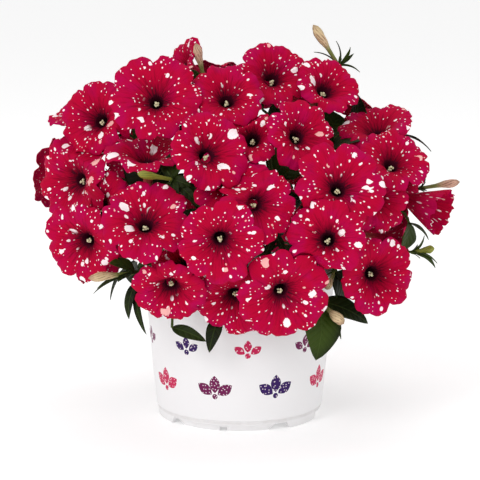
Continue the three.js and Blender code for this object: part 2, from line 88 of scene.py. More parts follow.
# A closed skin over rings of equally many points. plane and polar are its two UV maps, one column wider.
def addLoft(bin, rings, slot=0, plane=None, polar=None):
    rings = np.asarray(rings, float)
    rows, cols, _ = rings.shape
    if plane is None:
        plane = np.zeros((rows, cols + 1, 2))
    if polar is None:
        polar = plane
    slots = [slot] * rows if isinstance(slot, int) else slot
    start = bin["count"]
    bin["points"].append(np.vstack([rings.reshape(-1, 3), rings[0].mean(0), rings[-1].mean(0)]))
    bin["count"] += rows * cols + 2

    def corner(j, i):
        return start + j * cols + i % cols

    def addFace(points, places, row):
        bin["faces"].append(points)
        bin["slots"].append(slots[row])
        for name, uv in (("plane", plane), ("polar", polar)):
            bin[name] += [uv[row, :-1].mean(0) if place is None else uv[place] for place in places]

    for j in range(rows - 1):
        for i in range(cols):
            places = [(j, i), (j, i + 1), (j + 1, i + 1), (j + 1, i)]
            addFace([corner(*place) for place in places], places, j)
    for j, middle in ((0, start + rows * cols), (rows - 1, start + rows * cols + 1)):
        for i in range(cols):
            places = [(j, i + 1), (j, i)] if j == 0 else [(j, i), (j, i + 1)]
            addFace([corner(*place) for place in places] + [middle], places + [None], j)


def makeObject(name, bin, materials):
    mesh = bpy.data.meshes.new(name)
    mesh.from_pydata((np.vstack(bin["points"]) * mm).tolist(), [], bin["faces"])
    for uvName in ("plane", "polar"):
        layer = mesh.uv_layers.new(name=uvName)
        layer.data.foreach_set("uv", np.asarray(bin[uvName], np.float32).ravel())
    for material in materials:
        mesh.materials.append(material)
    mesh.polygons.foreach_set("material_index", bin["slots"])
    mesh.shade_smooth()
    return addObject(name, mesh)


# Loose points, joined by edges where there are any, each with a size
def makePoints(name, points, edges, attribute, sizes):
    mesh = bpy.data.meshes.new(name)
    mesh.from_pydata((np.array(points) * mm).tolist(), edges, [])
    mesh.attributes.new(attribute, "FLOAT", "POINT").data.foreach_set("value", np.array(sizes) * mm)
    return addObject(name, mesh)


# A Geometry Nodes tree with named inputs, as {"name": (socket kind, value)}
def newTree(name, inputs):
    tree = bpy.data.node_groups.new(name, "GeometryNodeTree")
    tree.interface.new_socket("Geometry", in_out="INPUT", socket_type="NodeSocketGeometry")
    tree.interface.new_socket("Geometry", in_out="OUTPUT", socket_type="NodeSocketGeometry")
    for label, (kind, value) in inputs.items():
        tree.interface.new_socket(label, in_out="INPUT", socket_type=kind).default_value = value
    return tree, addNode(tree, "NodeGroupInput").outputs


def endTree(tree, geometry, material):
    whole = addNode(tree, "GeometryNodeRealizeInstances", [geometry])
    painted = addNode(tree, "GeometryNodeSetMaterial", {"Geometry": whole, "Material": material})
    addNode(tree, "NodeGroupOutput", [painted])


# The object with a modifier's result as its plain mesh
def applied(obj, modifier):
    bpy.context.view_layer.update()
    graph = bpy.context.evaluated_depsgraph_get()
    mesh = bpy.data.meshes.new_from_object(obj.evaluated_get(graph), depsgraph=graph)
    obj.modifiers.remove(modifier)
    obj.data = mesh
    return obj


def growTree(obj, tree, values):
    modifier = obj.modifiers.new("grow", "NODES")
    modifier.node_group = tree
    for item in tree.interface.items_tree:
        if item.in_out == "INPUT" and item.name in values:
            modifier[item.identifier] = values[item.name]
    return applied(obj, modifier)


def declare(obj, slot, *nodes):
    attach(obj, "root")
    if nodes:
        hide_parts(*nodes)


# Camera at the photograph's viewing angle: millimetres and degrees

cameraSettings = {"distance": 1400, "target": (0.44, 0, 129.6), "elevation": 10.5, "lens": 142.5, "sensor": 36}


def makeCamera(settings):
    data = bpy.data.cameras.new("camera")
    data.lens = settings["lens"]
    data.sensor_width = settings["sensor"]
    camera = addObject("camera", data)
    rise = math.radians(settings["elevation"])
    target = Vector(settings["target"]) * mm
    camera.location = target + Vector((0, -math.cos(rise), math.sin(rise))) * settings["distance"] * mm
    camera.rotation_euler = (math.pi / 2 - rise, 0, 0)
    bpy.context.scene.camera = camera


makeCamera(cameraSettings)

# Blooms: each a limb of five lobes on a narrow tube

bloomSettings = {
    "sides": 110,
    "ringsAcross": 13,
    "thickness": 0.7,
    "throatRadius": 5.0,
    "tubeLength": 30.0,
    # Radius and height of the rings of the tube outside, and of the pit inside it
    "tube": [(2.0, -30), (2.3, -26), (2.7, -20), (3.4, -12), (4.3, -5), (4.9, -1.6)],
    "pit": [(4.7, -1.0), (3.9, -4), (3.1, -8), (2.2, -12)],
    "depth": 11.0,
    "flare": 2.3,
    "rimCurl": 2.4,
    "frill": 0.4,
    # Shares of the limb's radius
    "notch": 0.13,
    "dent": 0.05,
    "unevenLobes": 0.05,
    "ruffle": 0.036,
    # A limb keeps the gap behind the one in front, and gives way less by the slope outside its rim. This holds within
    # reachOut of the rim and reachBack of the throat, and a finished limb's bend is known at so many places round
    # the share midRing and the rim.
    "gap": 2.6,
    "slope": 1.4,
    "mostBend": 24,
    "reachOut": 14,
    "reachBack": 20,
    "midRing": 0.55,
    "bendPlaces": 20,
}

# Where each throat is, the way it faces (azimuth, elevation), its limb's radius, its turn, and where they aren't the
# usual ones its depth and flare. A bloom stands in front of those after it, and they bend behind it.
bloomRows = [
    (28, -104, 114, 14, -12, 32, 6),
    (-13, -120, 153, 2, -8, 28.5, 30),
    (60, -108, 150, -8, 18, 27, 50),
    (67, -95, 182, 10, 25, 30.5, 20),
    (-23, -92, 205, 20, 24, 27, 66),
    (10, -112, 175, 24, 10, 26.5, 12),
    (-47, -97, 117, -6, -26, 25, 40),
    (-64, -102, 158, 2, 38, 30, 10),
    (39, -72, 215, 24, 22, 25, 60),
    (-58, -52, 237, -4, 28, 31.5, 24),
    (92, -76, 120, 22, 2, 27, 8),
    (-9, -48, 237, 4, 40, 26, 56),
    (-106, -66, 142, -28, -8, 28.5, 36),
    (9, -72, 213, -5, 30, 20, 48),
    (107, -46, 191, 20, 44, 25.5, 64),
    (60, -22, 241, 24, 38, 23, 14),
    (-3, -92, 109, -6, -24, 27, 34),
    (-64, -62, 195, 2, 72, 28.5, 4),
    (-99, -20, 220, -28, 20, 27, 52),
    (121, -41, 166, 58, -14, 16, 18, 29, 0.8),
    (-4, -92, 186, -6, 16, 26.5, 44),
    (-113, -32, 179, -42, 4, 32.5, 0),
    (99, -14, 209, -30, 66, 27, 30),
    (23, -18, 249, 14, 36, 26, 10),
    (-37, -82, 125, -6, 10, 22, 68),
    (-97, -56, 163, -22, 28, 24, 26),
    (93, -66, 172, 26, 8, 24, 40),
    (113, -24, 176, 50, 20, 15, 2),
    (-35.5, -1, 255, -68, 28, 22, 16),
    (-113, 12, 212, -30, 78, 25, 46),
    (-133.5, 66, 168, -122, 6, 28, 20),
    (108, 18, 126, 98, -12, 30, 50),
    (84, 80, 124, 136, -14, 31, 15),
    (26, 112, 122, 168, -14, 31, 62),
    (-42, 108, 124, -158, -12, 31, 33),
    (-98, 62, 124, -122, -14, 31, 5),
    (-112, -8, 128, -88, -12, 28, 44),
    (114, 22, 174, 102, 10, 31, 28),
    (97, 70, 170, 126, 12, 31, 58),
    (50, 112, 172, 156, 10, 31, 9),
    (-14, 116, 174, -174, 12, 31, 37),
    (-74, 94, 172, -142, 10, 31, 66),
    (84, 40, 214, 116, 46, 30, 42),
    (42, 80, 216, 150, 48, 31, 18),
    (-18, 86, 216, -170, 46, 31, 52),
    (-76, 58, 214, -126, 46, 31, 12),
    (42, 30, 238, 128, 66, 28, 30),
    (-22, 50, 237, -160, 62, 28, 60),
    (-74, 18, 234, -84, 58, 27, 34),
    (4, 4, 242, 60, 80, 24, 8),
]


def bloomFrame(row):
    azimuth, elevation = math.radians(row[3]), math.radians(row[4])
    face = np.array([
        math.sin(azimuth) * math.cos(elevation),
        -math.cos(azimuth) * math.cos(elevation),
        math.sin(elevation),
    ])
    right = np.array([math.cos(azimuth), math.sin(azimuth), 0.0])
    return {"at": np.array(row[:3], float), "face": face, "right": right, "up": np.cross(face, right)}


def rimRadius(row, index, degrees):
    turn = np.mod(degrees - row[6], 360) / 72
    lobe = np.floor(turn)
    t = turn - lobe
    notch = bloomSettings["notch"] * np.abs(2 * t - 1) ** 5
    dent = bloomSettings["dent"] * (1 - np.abs(np.sin(2 * np.pi * t))) ** 2
    size = 1 + bloomSettings["unevenLobes"] * np.sin(2.1 * index + 1.7 * lobe) * np.sin(np.pi * t)
    return row[5] * (1.02 - notch - dent) * size


# Height of a limb over its throat, a share s of the way out
def limbHeight(row, index, s, degrees):
    turn = np.radians(degrees - row[6])
    depth, flare = row[7:] or (bloomSettings["depth"], bloomSettings["flare"])
    funnel = depth * (1 - (1 - s) ** flare) - bloomSettings["rimCurl"] * s ** 5
    ruffle = np.sin(5 * turn + 1.9 * index) + 0.7 * np.sin(8 * turn + 2.7 * index)
    return funnel + bloomSettings["ruffle"] * row[5] * ruffle * s ** 2.5 + 0.8 * s * s * np.cos(5 * turn)


# How far a finished limb was bent back at places on it
def bentBack(drops, s, degrees):
    def pick(ring):
        f = np.mod(degrees - drops["turn"], 360) / (360 / len(ring))
        i = np.floor(f).astype(int) % len(ring)
        return ring[i] + (ring[(i + 1) % len(ring)] - ring[i]) * (f - np.floor(f))

    middle, rim, share = pick(drops["middle"]), pick(drops["rim"]), bloomSettings["midRing"]
    outer = middle + (rim - middle) * np.clip((s - share) / (1 - share), 0, 1)
    return np.where(s < share, middle * s / share, outer)


# Points of a limb, pushed back behind every bloom in front of it
def bend(points, s, front):
    weight = np.clip((s - 0.05) / 0.45, 0, 1)
    weight = weight * weight * (3 - 2 * weight)
    throat, gap, slope, mostBend, reachOut, reachBack = [
        bloomSettings[name] for name in ("throatRadius", "gap", "slope", "mostBend", "reachOut", "reachBack")
    ]
    for other in front:
        axes, which = other["frame"], (other["row"], other["index"])
        offset = points - axes["at"]
        x, y, z = offset @ axes["right"], offset @ axes["up"], offset @ axes["face"]
        radius = np.hypot(x, y)
        degrees = np.degrees(np.arctan2(y, x))
        rim = rimRadius(*which, degrees)
        t = np.clip((radius - throat) / (rim - throat), 0, 1)
        skin = limbHeight(*which, t, degrees) + bentBack(other["drops"], t, degrees)
        over = np.clip(z - (skin - gap + slope * np.maximum(0, radius - rim)), 0, mostBend)
        over = np.where((radius > rim + reachOut) | (z < -reachBack), 0, over)
        points = points - (over * weight)[:, None] * axes["face"]
    return points


def limbPoints(row, index, axes, s, degrees):
    a = np.radians(degrees)
    throat = bloomSettings["throatRadius"]
    radius = throat + (rimRadius(row, index, degrees) - throat) * s
    height = limbHeight(row, index, s, degrees)
    flat = np.outer(radius * np.cos(a), axes["right"]) + np.outer(radius * np.sin(a), axes["up"])
    return axes["at"] + flat + np.outer(height, axes["face"])


# Every bloom's frame and bend, from the foremost back
def layBlooms():
    laid, places = [], bloomSettings["bendPlaces"]
    for index, row in enumerate(bloomRows):
        axes = bloomFrame(row)
        degrees = row[6] + 360 / places * np.arange(places)
        drops = {"turn": row[6]}
        for name, share in (("middle", bloomSettings["midRing"]), ("rim", 1.0)):
            s = np.full(places, share)
            flat = limbPoints(row, index, axes, s, degrees)
            drops[name] = (bend(flat, s, laid) - flat) @ axes["face"]
        laid.append({"row": row, "index": index, "frame": axes, "drops": drops})
    return laid


# The crinkle at the edge of a limb, finer than the solid has
def frill(index, s, turn):
    wave = np.sin(9 * turn + 2.3 * index) + 0.9 * np.sin(17 * turn + 1.1 * index) + 0.6 * np.sin(28 * turn + index)
    return bloomSettings["frill"] * wave * s ** 5


def makeBloom(laid, one, materials):
    row, index, axes = one["row"], one["index"], one["frame"]
    sides, tube, pit = [bloomSettings[name] for name in ("sides", "tube", "pit")]
    degrees = row[6] + 360 * np.arange(sides) / sides
    turn = np.radians(degrees - row[6])
    around = np.outer(np.cos(np.radians(degrees)), axes["right"]) + np.outer(np.sin(np.radians(degrees)), axes["up"])
    shares = np.linspace(0, 1, bloomSettings["ringsAcross"]) ** 0.85
    limb = []
    for share in shares:
        s = np.full(sides, share)
        ring = bend(limbPoints(row, index, axes, s, degrees), s, laid[:index])
        ring = ring + frill(index, s, turn)[:, None] * around
        limb.append(ring + (frill(index + 3, s, turn + 0.4) * 1.9)[:, None] * axes["face"])
    half = bloomSettings["thickness"] / 2 * axes["face"]

    def tubeRing(radius, height):
        return axes["at"] + around * radius + axes["face"] * height

    rings = [tubeRing(*place) for place in tube]
    rings += [ring - half for ring in limb] + [limb[-1] + around * 0.25]
    rings += [ring + half for ring in reversed(limb)] + [tubeRing(*place) for place in pit]
    inTube, inPit = [[height / bloomSettings["tubeLength"] for _, height in part] for part in (tube, pit)]
    reach = inTube + list(shares) + [1] + list(shares[::-1]) + inPit
    # Polar UVs tell the lobe and how far out. Plane UVs are millimetres on the limb, elsewhere for each bloom.
    rims = rimRadius(row, index, degrees)
    lobes = 5 * np.arange(sides + 1) / sides
    angle = 2 * np.pi * np.arange(sides + 1) / sides
    polar, plane = [], []
    for share in reach:
        radius = np.append(rims, rims[0]) * max(share, 0) + bloomSettings["throatRadius"]
        polar.append(np.stack([lobes + 10 * index, np.full(sides + 1, share)], 1))
        plane.append(np.stack([radius * np.cos(angle) + 97 * index, radius * np.sin(angle) + 41 * index], 1))
    backRows = len(tube) + len(limb)
    slots = [1] * backRows + [0] * (len(rings) - backRows)
    bin = newBin()
    addLoft(bin, rings, slots, np.array(plane), np.array(polar))
    declare(makeObject(f"bloom{index + 1}", bin, materials), "petals", f"bloom_{index + 1}")


# Petal of a petunia, living tissue with a velvety face: no gloss, white patches where the pigment is missing
# The darkest red of the limb is painted shade, laid on the creases, the ribs and towards the throat
petalColours = {
    "crimson": "B40031", "magenta": "B0004A", "paintedShade": "72001E", "throat": "460A20", "depth": "2E0A1A",
    "vein": "4E0018", "white": "FFF1F4", "salmon": "F2B2AE", "back": "A01040", "tube": "9C8A5A",
}
# Cell in mm, share of the cells with a spot, smallest and largest radius in mm, how drawn out, raggedness in mm
spotLayers = [(3.4, 0.28, 0.28, 0.6, 1.5, 0.0), (8.0, 0.28, 0.6, 1.45, 1.5, 0.3), (17.0, 0.4, 1.5, 4.2, 1.35, 0.9)]


# One spot in a share of the cells, drawn out along the ray from the throat. Where crowd is high they are many.
def addSpots(tree, plane, ray, crowd, layer):
    cell, share, small, large, stretch, ragged = layer
    cells = addNode(
        tree, "ShaderNodeTexVoronoi", {"Vector": plane, "Scale": 1 / cell, "Randomness": 0.85},
        voronoi_dimensions="2D",
    )
    chance, size, tint = addNode(tree, "ShaderNodeSeparateColor", [cells.outputs["Color"]]).outputs
    offset = addNode(tree, "ShaderNodeVectorMath", [plane, cells.outputs["Position"]], operation="SUBTRACT")
    x, y, _ = addNode(tree, "ShaderNodeSeparateXYZ", [offset]).outputs
    xCosine, yCosine, xSine, sizeSquare = [
        addNode(tree, "ShaderNodeMath", pair, operation="MULTIPLY")
        for pair in ((x, ray[0]), (y, ray[0]), (x, ray[1]), (size, size))
    ]
    alongRay = addNode(tree, "ShaderNodeMath", [y, ray[1], xCosine], operation="MULTIPLY_ADD")
    alongRay = addNode(tree, "ShaderNodeMath", [alongRay, stretch], operation="DIVIDE")
    acrossRay = addNode(tree, "ShaderNodeMath", [yCosine, xSine], operation="SUBTRACT")
    square = addNode(tree, "ShaderNodeMath", [acrossRay, acrossRay], operation="MULTIPLY")
    square = addNode(tree, "ShaderNodeMath", [alongRay, alongRay, square], operation="MULTIPLY_ADD")
    distance = addNode(tree, "ShaderNodeMath", [square], operation="SQRT")
    radius = addNode(tree, "ShaderNodeMath", [sizeSquare, large - small, small], operation="MULTIPLY_ADD")
    edge = addNode(tree, "ShaderNodeMath", [distance, radius], operation="SUBTRACT")
    if ragged:
        # Ragged at about 2 mm
        noise = addNode(tree, "ShaderNodeTexNoise", {"Vector": plane, "Scale": 0.55, "Detail": 2.0})
        uneven = addNode(tree, "ShaderNodeMath", [noise, 0.5], operation="SUBTRACT")
        edge = addNode(tree, "ShaderNodeMath", [uneven, 2 * ragged, edge], operation="MULTIPLY_ADD")
    inside = addNode(tree, "ShaderNodeMapRange", [edge, 0.14, -0.14], **smooth)
    limit = addNode(tree, "ShaderNodeMath", [crowd, share], operation="MULTIPLY")
    chosen = addNode(tree, "ShaderNodeMath", [chance, limit], operation="LESS_THAN")
    return addNode(tree, "ShaderNodeMath", [inside, chosen], operation="MULTIPLY"), tint


def makePetalMaterial(name, front):
    material, tree, shader = newMaterial(name)
    paint = {finish: linear(code) for finish, code in petalColours.items()}
    plane, polar = [addNode(tree, "ShaderNodeUVMap", uv_map=uvName) for uvName in ("plane", "polar")]
    lobes, reach, _ = addNode(tree, "ShaderNodeSeparateXYZ", [polar]).outputs
    angle = addNode(tree, "ShaderNodeMath", [lobes, 2 * math.pi / 5], operation="MULTIPLY")
    ray = [addNode(tree, "ShaderNodeMath", [angle], operation=side) for side in ("COSINE", "SINE")]

    # Magenta patches about 18 mm across
    patches = addNode(tree, "ShaderNodeTexNoise", {"Vector": plane, "Scale": 1 / 18, "Detail": 2.0})
    patches = addNode(tree, "ShaderNodeMath", [reach, 0.2, patches], operation="MULTIPLY_ADD")
    pink = addNode(tree, "ShaderNodeMapRange", [patches, 0.52, 0.9], **smooth)
    colour = addNode(tree, "ShaderNodeMix", {0: pink, 6: paint["crimson"], 7: paint["magenta"]}, data_type="RGBA")

    # Fine creases run out from the throat, about 2 mm apart at the rim, and a rib down the middle of each lobe, with
    # painted shade darkening the creases and the rib
    squeezed = addNode(tree, "ShaderNodeVectorMath", [polar, (7.0, 0.9, 1.0)], operation="MULTIPLY")
    creases = addNode(tree, "ShaderNodeTexNoise", {"Vector": squeezed, "Scale": 2.0, "Detail": 3.0})
    foldShade = addNode(tree, "ShaderNodeMapRange", [creases, 0.5, 0.34], **smooth)
    folded = addNode(tree, "ShaderNodeMapRange", [reach, 1.0, 0.1, 0.15, 0.75], **smooth)
    foldShade = addNode(tree, "ShaderNodeMath", [foldShade, folded], operation="MULTIPLY")
    lobe = addNode(tree, "ShaderNodeMath", [lobes], operation="FRACT")
    middle = addNode(tree, "ShaderNodeMath", [lobe, 0.5], operation="SUBTRACT")
    middle = addNode(tree, "ShaderNodeMath", [middle], operation="ABSOLUTE")
    aside = addNode(tree, "ShaderNodeMath", [middle, reach], operation="MULTIPLY")
    rib = addNode(tree, "ShaderNodeMapRange", [aside, 0.02, 0.004], **smooth)
    ribbed = addNode(tree, "ShaderNodeMapRange", [reach, 0.9, 0.3], **smooth)
    rib = addNode(tree, "ShaderNodeMath", [rib, ribbed], operation="MULTIPLY")
    ribShade = addNode(tree, "ShaderNodeMath", [rib, 0.35], operation="MULTIPLY")
    # Painted shade darkens the creases and the rib
    for share in (foldShade, ribShade):
        colour = addNode(tree, "ShaderNodeMix", {0: share, 6: colour, 7: paint["paintedShade"]}, data_type="RGBA")

    # White and salmon spots, crowded in places about 14 mm across. The largest are missing from the back.
    thick = addNode(tree, "ShaderNodeTexNoise", {"Vector": plane, "Scale": 0.07, "Detail": 1.0})
    crowd = addNode(tree, "ShaderNodeMapRange", [thick, 0.36, 0.64, 0.35, 1.5], **smooth)
    outside = addNode(tree, "ShaderNodeMapRange", [reach, 0.1, 0.22], **smooth)
    for layer in spotLayers if front else spotLayers[:2]:
        spots, tint = addSpots(tree, plane, ray, crowd, layer)
        spots = addNode(tree, "ShaderNodeMath", [spots, outside], operation="MULTIPLY")
        if not front:
            spots = addNode(tree, "ShaderNodeMath", [spots, 0.75], operation="MULTIPLY")
        warm = addNode(tree, "ShaderNodeMath", [tint, 0.86], operation="GREATER_THAN")
        pale = addNode(tree, "ShaderNodeMix", {0: warm, 6: paint["white"], 7: paint["salmon"]}, data_type="RGBA")
        colour = addNode(tree, "ShaderNodeMix", {0: spots, 6: colour, 7: pale}, data_type="RGBA")

    if front:
        # Towards the throat the limb darkens with painted shade, veins show, and the pit is nearly black, with 3 mm
        # blots at its edge
        paintedShade = addNode(tree, "ShaderNodeMapRange", [reach, 0.24, 0.0, 0.0, 0.6], **smooth)
        streaks = addNode(tree, "ShaderNodeMapRange", [creases, 0.46, 0.58], **smooth)
        inwards = addNode(tree, "ShaderNodeMapRange", [reach, 0.42, 0.06], **smooth)
        veins = addNode(tree, "ShaderNodeMath", [streaks, inwards], operation="MULTIPLY")
        veins = addNode(tree, "ShaderNodeMath", [veins, 0.85], operation="MULTIPLY")
        blot = addNode(tree, "ShaderNodeTexNoise", {"Vector": plane, "Scale": 0.3, "Detail": 1.0})
        uneven = addNode(tree, "ShaderNodeMath", [blot, 0.5], operation="SUBTRACT")
        edge = addNode(tree, "ShaderNodeMath", [uneven, 0.36, reach], operation="MULTIPLY_ADD")
        edge = addNode(tree, "ShaderNodeMath", [streaks, -0.12, edge], operation="MULTIPLY_ADD")
        throat = addNode(tree, "ShaderNodeMapRange", [edge, 0.05, -0.05], **smooth)
        mouth = addNode(tree, "ShaderNodeMapRange", [reach, 0.03, -0.02], **smooth)
        throat = addNode(tree, "ShaderNodeMath", [throat, mouth], operation="MAXIMUM")
        depth = addNode(tree, "ShaderNodeMapRange", [reach, -0.06, -0.3], **smooth)
        layers = [(paintedShade, "paintedShade"), (veins, "vein"), (throat, "throat"), (depth, "depth")]
    else:
        pale = addNode(tree, "ShaderNodeMapRange", [reach, -0.1, -0.9], **smooth)
        pale = addNode(tree, "ShaderNodeMath", [pale, 0.6], operation="MULTIPLY")
        layers = [(0.3, "back"), (pale, "tube")]
    for share, finish in layers:
        colour = addNode(tree, "ShaderNodeMix", {0: share, 6: colour, 7: paint[finish]}, data_type="RGBA")
    relief = addNode(tree, "ShaderNodeMath", [rib, -0.3, creases], operation="MULTIPLY_ADD")
    bump = addNode(tree, "ShaderNodeBump", {"Height": relief, "Strength": 0.6, "Distance": 0.9 * mm})
    setInputs(tree, shader, {
        "Base Color": colour, "Normal": bump, "Roughness": 0.7, "IOR": 1.36, "Specular IOR Level": 0.1,
    })
    return material


petalFaces = [makePetalMaterial("petalVelvetFace", True), makePetalMaterial("petalBackAndTube", False)]
laid = layBlooms()
for one in laid:
    makeBloom(laid, one, petalFaces)
print("blooms made")

# Hearts of the blooms: a knot of pale anthers round a slightly larger stigma, low in each throat

heartSettings = {
    "anthers": 5,
    "antherRadius": 0.85,
    "stigmaRadius": 0.95,
    "height": -1.4,
    "stigmaHeight": 0.2,
    "spread": 1.5,
    "drop": 0.9,
    "detail": 2,
}


def makeHearts(laid, settings, material):
    points, sizes = [], []
    for one in laid:
        axes, index = one["frame"], one["index"]
        for k in range(settings["anthers"] + 1):
            a = 2 * math.pi * (k / settings["anthers"] + 0.37 * index)
            if k == settings["anthers"]:
                height, spread, size = settings["stigmaHeight"], 0.2, settings["stigmaRadius"]
            else:
                height = settings["height"] + 0.7 * math.sin(2.3 * k + 1.7 * index)
                spread, size = settings["spread"] * (0.8 + 0.3 * math.sin(3.1 * k + index)), settings["antherRadius"]
            middle = axes["at"] + axes["face"] * height - axes["up"] * settings["drop"]
            points.append(middle + (axes["right"] * math.cos(a) + axes["up"] * math.sin(a)) * spread)
            sizes.append(size)
    tree, given = newTree("antherKnots", {"Detail": ("NodeSocketInt", settings["detail"])})
    ball = addNode(tree, "GeometryNodeMeshIcoSphere", {"Radius": 1.0, "Subdivisions": given["Detail"]})
    size = addNode(tree, "GeometryNodeInputNamedAttribute", {"Name": "size"}, data_type="FLOAT")
    scale = addNode(tree, "ShaderNodeCombineXYZ", [size, size, size])
    balls = addNode(
        tree, "GeometryNodeInstanceOnPoints", {"Points": given["Geometry"], "Instance": ball, "Scale": scale},
    )
    endTree(tree, balls, material)
    return growTree(makePoints("bloomHearts", points, [], "size", sizes), tree, {"Detail": settings["detail"]})


# Anthers dusted with pollen: matt pale cream with a green cast
pollen, pollenTree, pollenShader = newMaterial("pollenCream")
setInputs(pollenTree, pollenShader, {"Base Color": linear("E4DDB4"), "Roughness": 0.8})
declare(makeHearts(laid, heartSettings, pollen), "petals")
print("hearts made")

# Stems, stalks, calyxes, leaves and buds

stemSettings = {
    "count": 8,
    # Height of a main stem's ends, and how far from the axis it starts and then leans out
    "foot": 86,
    "top": 214,
    "innermost": 24,
    "bulge": 36,
    "radius": 2.2,
    "tipRadius": 1.3,
    "sides": 8,
    # Shares of its length where it bends
    "steps": [0, 0.15, 0.3, 0.45, 0.6, 0.8, 1],
    # Radius of a stalk at its end, and at the main stem under a bloom and under a spray
    "stalk": 0.95,
    "bloomStalk": 1.05,
    "sprayStalk": 1.1,
    "potRim": 108,
}

# Foot of each spray, then tip and width of its leaves, and tip and head radius of its buds
frontSprays = [
    {"foot": (-72, -78, 114), "leaves": [(-77, -84, 89, 9), (-65, -84, 78, 6)]},
    {
        "foot": (-72, -78, 121),
        "leaves": [(-102, -78, 106, 3), (-100, -70, 108, 3), (-90, -90, 130, 14), (-84, -90, 117, 11)],
        "buds": [(-104, -93, 120, 3.2)],
    },
    {"foot": (-47, -84, 83), "leaves": [(-23, -92, 75, 9)]},
    {"foot": (-14, -80, 90), "leaves": [(-21, -92, 67, 11)]},
    {
        "foot": (56, -82, 101),
        "leaves": [(53, -98, 63, 29), (90, -80, 85, 17), (71, -86, 75, 5)],
        "buds": [(72, -98, 89, 3.6)],
    },
    {"foot": (67, -74, 121), "leaves": [(93, -84, 97, 18), (72, -70, 98, 24)], "buds": [(60, -86, 111, 3.2)]},
    {"foot": (121, -43, 150), "leaves": [(114, -46, 129, 20), (135, -44, 138, 6)]},
    {
        "foot": (124, -44, 129),
        "leaves": [(140, -46, 118, 10), (142, -40, 120, 3), (132, -44, 141, 3)],
        "buds": [(139, -46, 132, 2.8)],
    },
    {"foot": (131, -18, 171), "leaves": [(132, -26, 186, 3)], "buds": [(159, -20, 176, 3)]},
    {"foot": (114, -2, 208), "leaves": [(139, -12, 197, 9)]},
    {"foot": (82, 10, 216), "leaves": [(87, 4, 236, 24)]},
    {
        "foot": (72, 2, 258),
        "leaves": [(70, -2, 276, 3), (80, -6, 272, 3), (83, 0, 267, 3), (54, 0, 268, 3), (87, -6, 254, 4)],
        "buds": [(53, -8, 288, 3.4)],
    },
    {"foot": (-25, -16, 248), "leaves": [(-35, -31, 258, 5)], "buds": [(-31, -22, 276, 3.2)]},
    {
        "foot": (-46, -84, 187.5),
        "leaves": [
            (-44, -66, 205, 16), (-42, -92, 174, 8), (-33, -88, 183, 9), (-25, -86, 173, 6), (-22, -90, 166, 7),
        ],
        "buds": [(-69, -100, 194, 2.8)],
    },
    {"foot": (24, -84, 150), "leaves": [(17, -88, 133, 7), (31, -88, 136, 6)]},
    {"foot": (58, -26, 194), "leaves": [(86, -36, 208, 24)]},
    {"foot": (27, -58, 182), "leaves": [(35, -64, 191, 7), (38, -62, 178, 6)]},
]


def polarPoint(radius, degrees, z):
    a = math.radians(degrees)
    return np.array([radius * math.sin(a), -radius * math.cos(a), z])


def unit(v):
    return v / np.linalg.norm(v)


def stemAzimuth(k):
    return 360 / stemSettings["count"] * (k + 0.5)


def stemPoint(k, u):
    z = stemSettings["foot"] + (stemSettings["top"] - stemSettings["foot"]) * u
    radius = stemSettings["innermost"] + stemSettings["bulge"] * math.sin(math.pi * 0.62 * u)
    return polarPoint(radius, stemAzimuth(k) + 5 * math.sin(4 * u + k), z)


# A place on the straight pieces of a main stem, as the solids have them
def stemAxis(k, u):
    steps = stemSettings["steps"]
    i = max(1, next(i for i, step in enumerate(steps) if step >= u))
    low, high = steps[i - 1], steps[i]
    start, end = stemPoint(k, low), stemPoint(k, high)
    return start + (end - start) * (u - low) / (high - low)


def sectorOf(point):
    degrees = math.degrees(math.atan2(point[0], -point[1])) % 360
    return int(degrees * stemSettings["count"] // 360)


# The line of a stalk from its foot, leaving backwards, to the main stem
def stalkPath(foot, back, k, steps=8):
    low, high = stemSettings["foot"], stemSettings["top"]
    u = min(max((foot[2] - 20 - low) / (high - low), 0.16), 1)
    end = stemAxis(k, u)
    distance = np.linalg.norm(foot - end)
    control = foot + back * distance * 0.35
    # A low one climbs over the pot's rim
    if foot[2] < stemSettings["potRim"] + 4:
        control = np.array([foot[0], foot[1], stemSettings["potRim"] + 32])
    t = np.linspace(0, 1, steps + 1)[:, None]
    return (1 - t) ** 2 * foot + 2 * t * (1 - t) * control + t * t * end


# Pairs of leaves that hang over the rim at the sides and the back
def rimSprays():
    sprays = []
    for degrees in range(76, 290, 36):
        sway = 8 * math.sin(degrees)
        tips = [polarPoint(102 + 0.5 * sway, degrees + turn + sway, 86 + 0.6 * sway) for turn in (-15, 13)]
        leaves = [(*tip, 18 + 0.3 * sway) for tip in tips]
        sprays.append({"foot": polarPoint(77, degrees, 112), "leaves": leaves})
    return sprays


# Leaves inside the plant: stems that bear one, how far up, reach, turn, rise, width behind and in front
innerLevels = [
    (8, 0.3, 94, 12, 4, 27, 17), (8, 0.62, 86, -9, 24, 27, 22), (7, 0.94, 78, -14, 12, 26, 24),
    (8, 0.45, 64, -26, 10, 27, 24), (8, 0.78, 60, 28, 16, 27, 24),
]


def innerSprays():
    sprays = []
    for stems, up, reach, turn, rise, width, frontWidth in innerLevels:
        for i in range(stems):
            k = stemSettings["count"] - 1 - i
            foot = stemAxis(k, up)
            tip = polarPoint(reach, stemAzimuth(k) + turn, foot[2] + rise)
            sprays.append({"stem": k, "foot": foot, "leaves": [(*tip, width if tip[1] > -40 else frontWidth)]})
    return sprays


leafSettings = {
    "rows": 15,
    "across": 9,
    # Leaves narrower than this have a longer point
    "slim": 4.5,
    # Shares of the width and of the length
    "fold": 0.14,
    "wave": 0.035,
    "arch": 0.48,
    # Thickness of the blade and the midrib, over that of the skin on each side
    "blade": 0.3,
    "midrib": 0.35,
    "skin": 0.12,
}


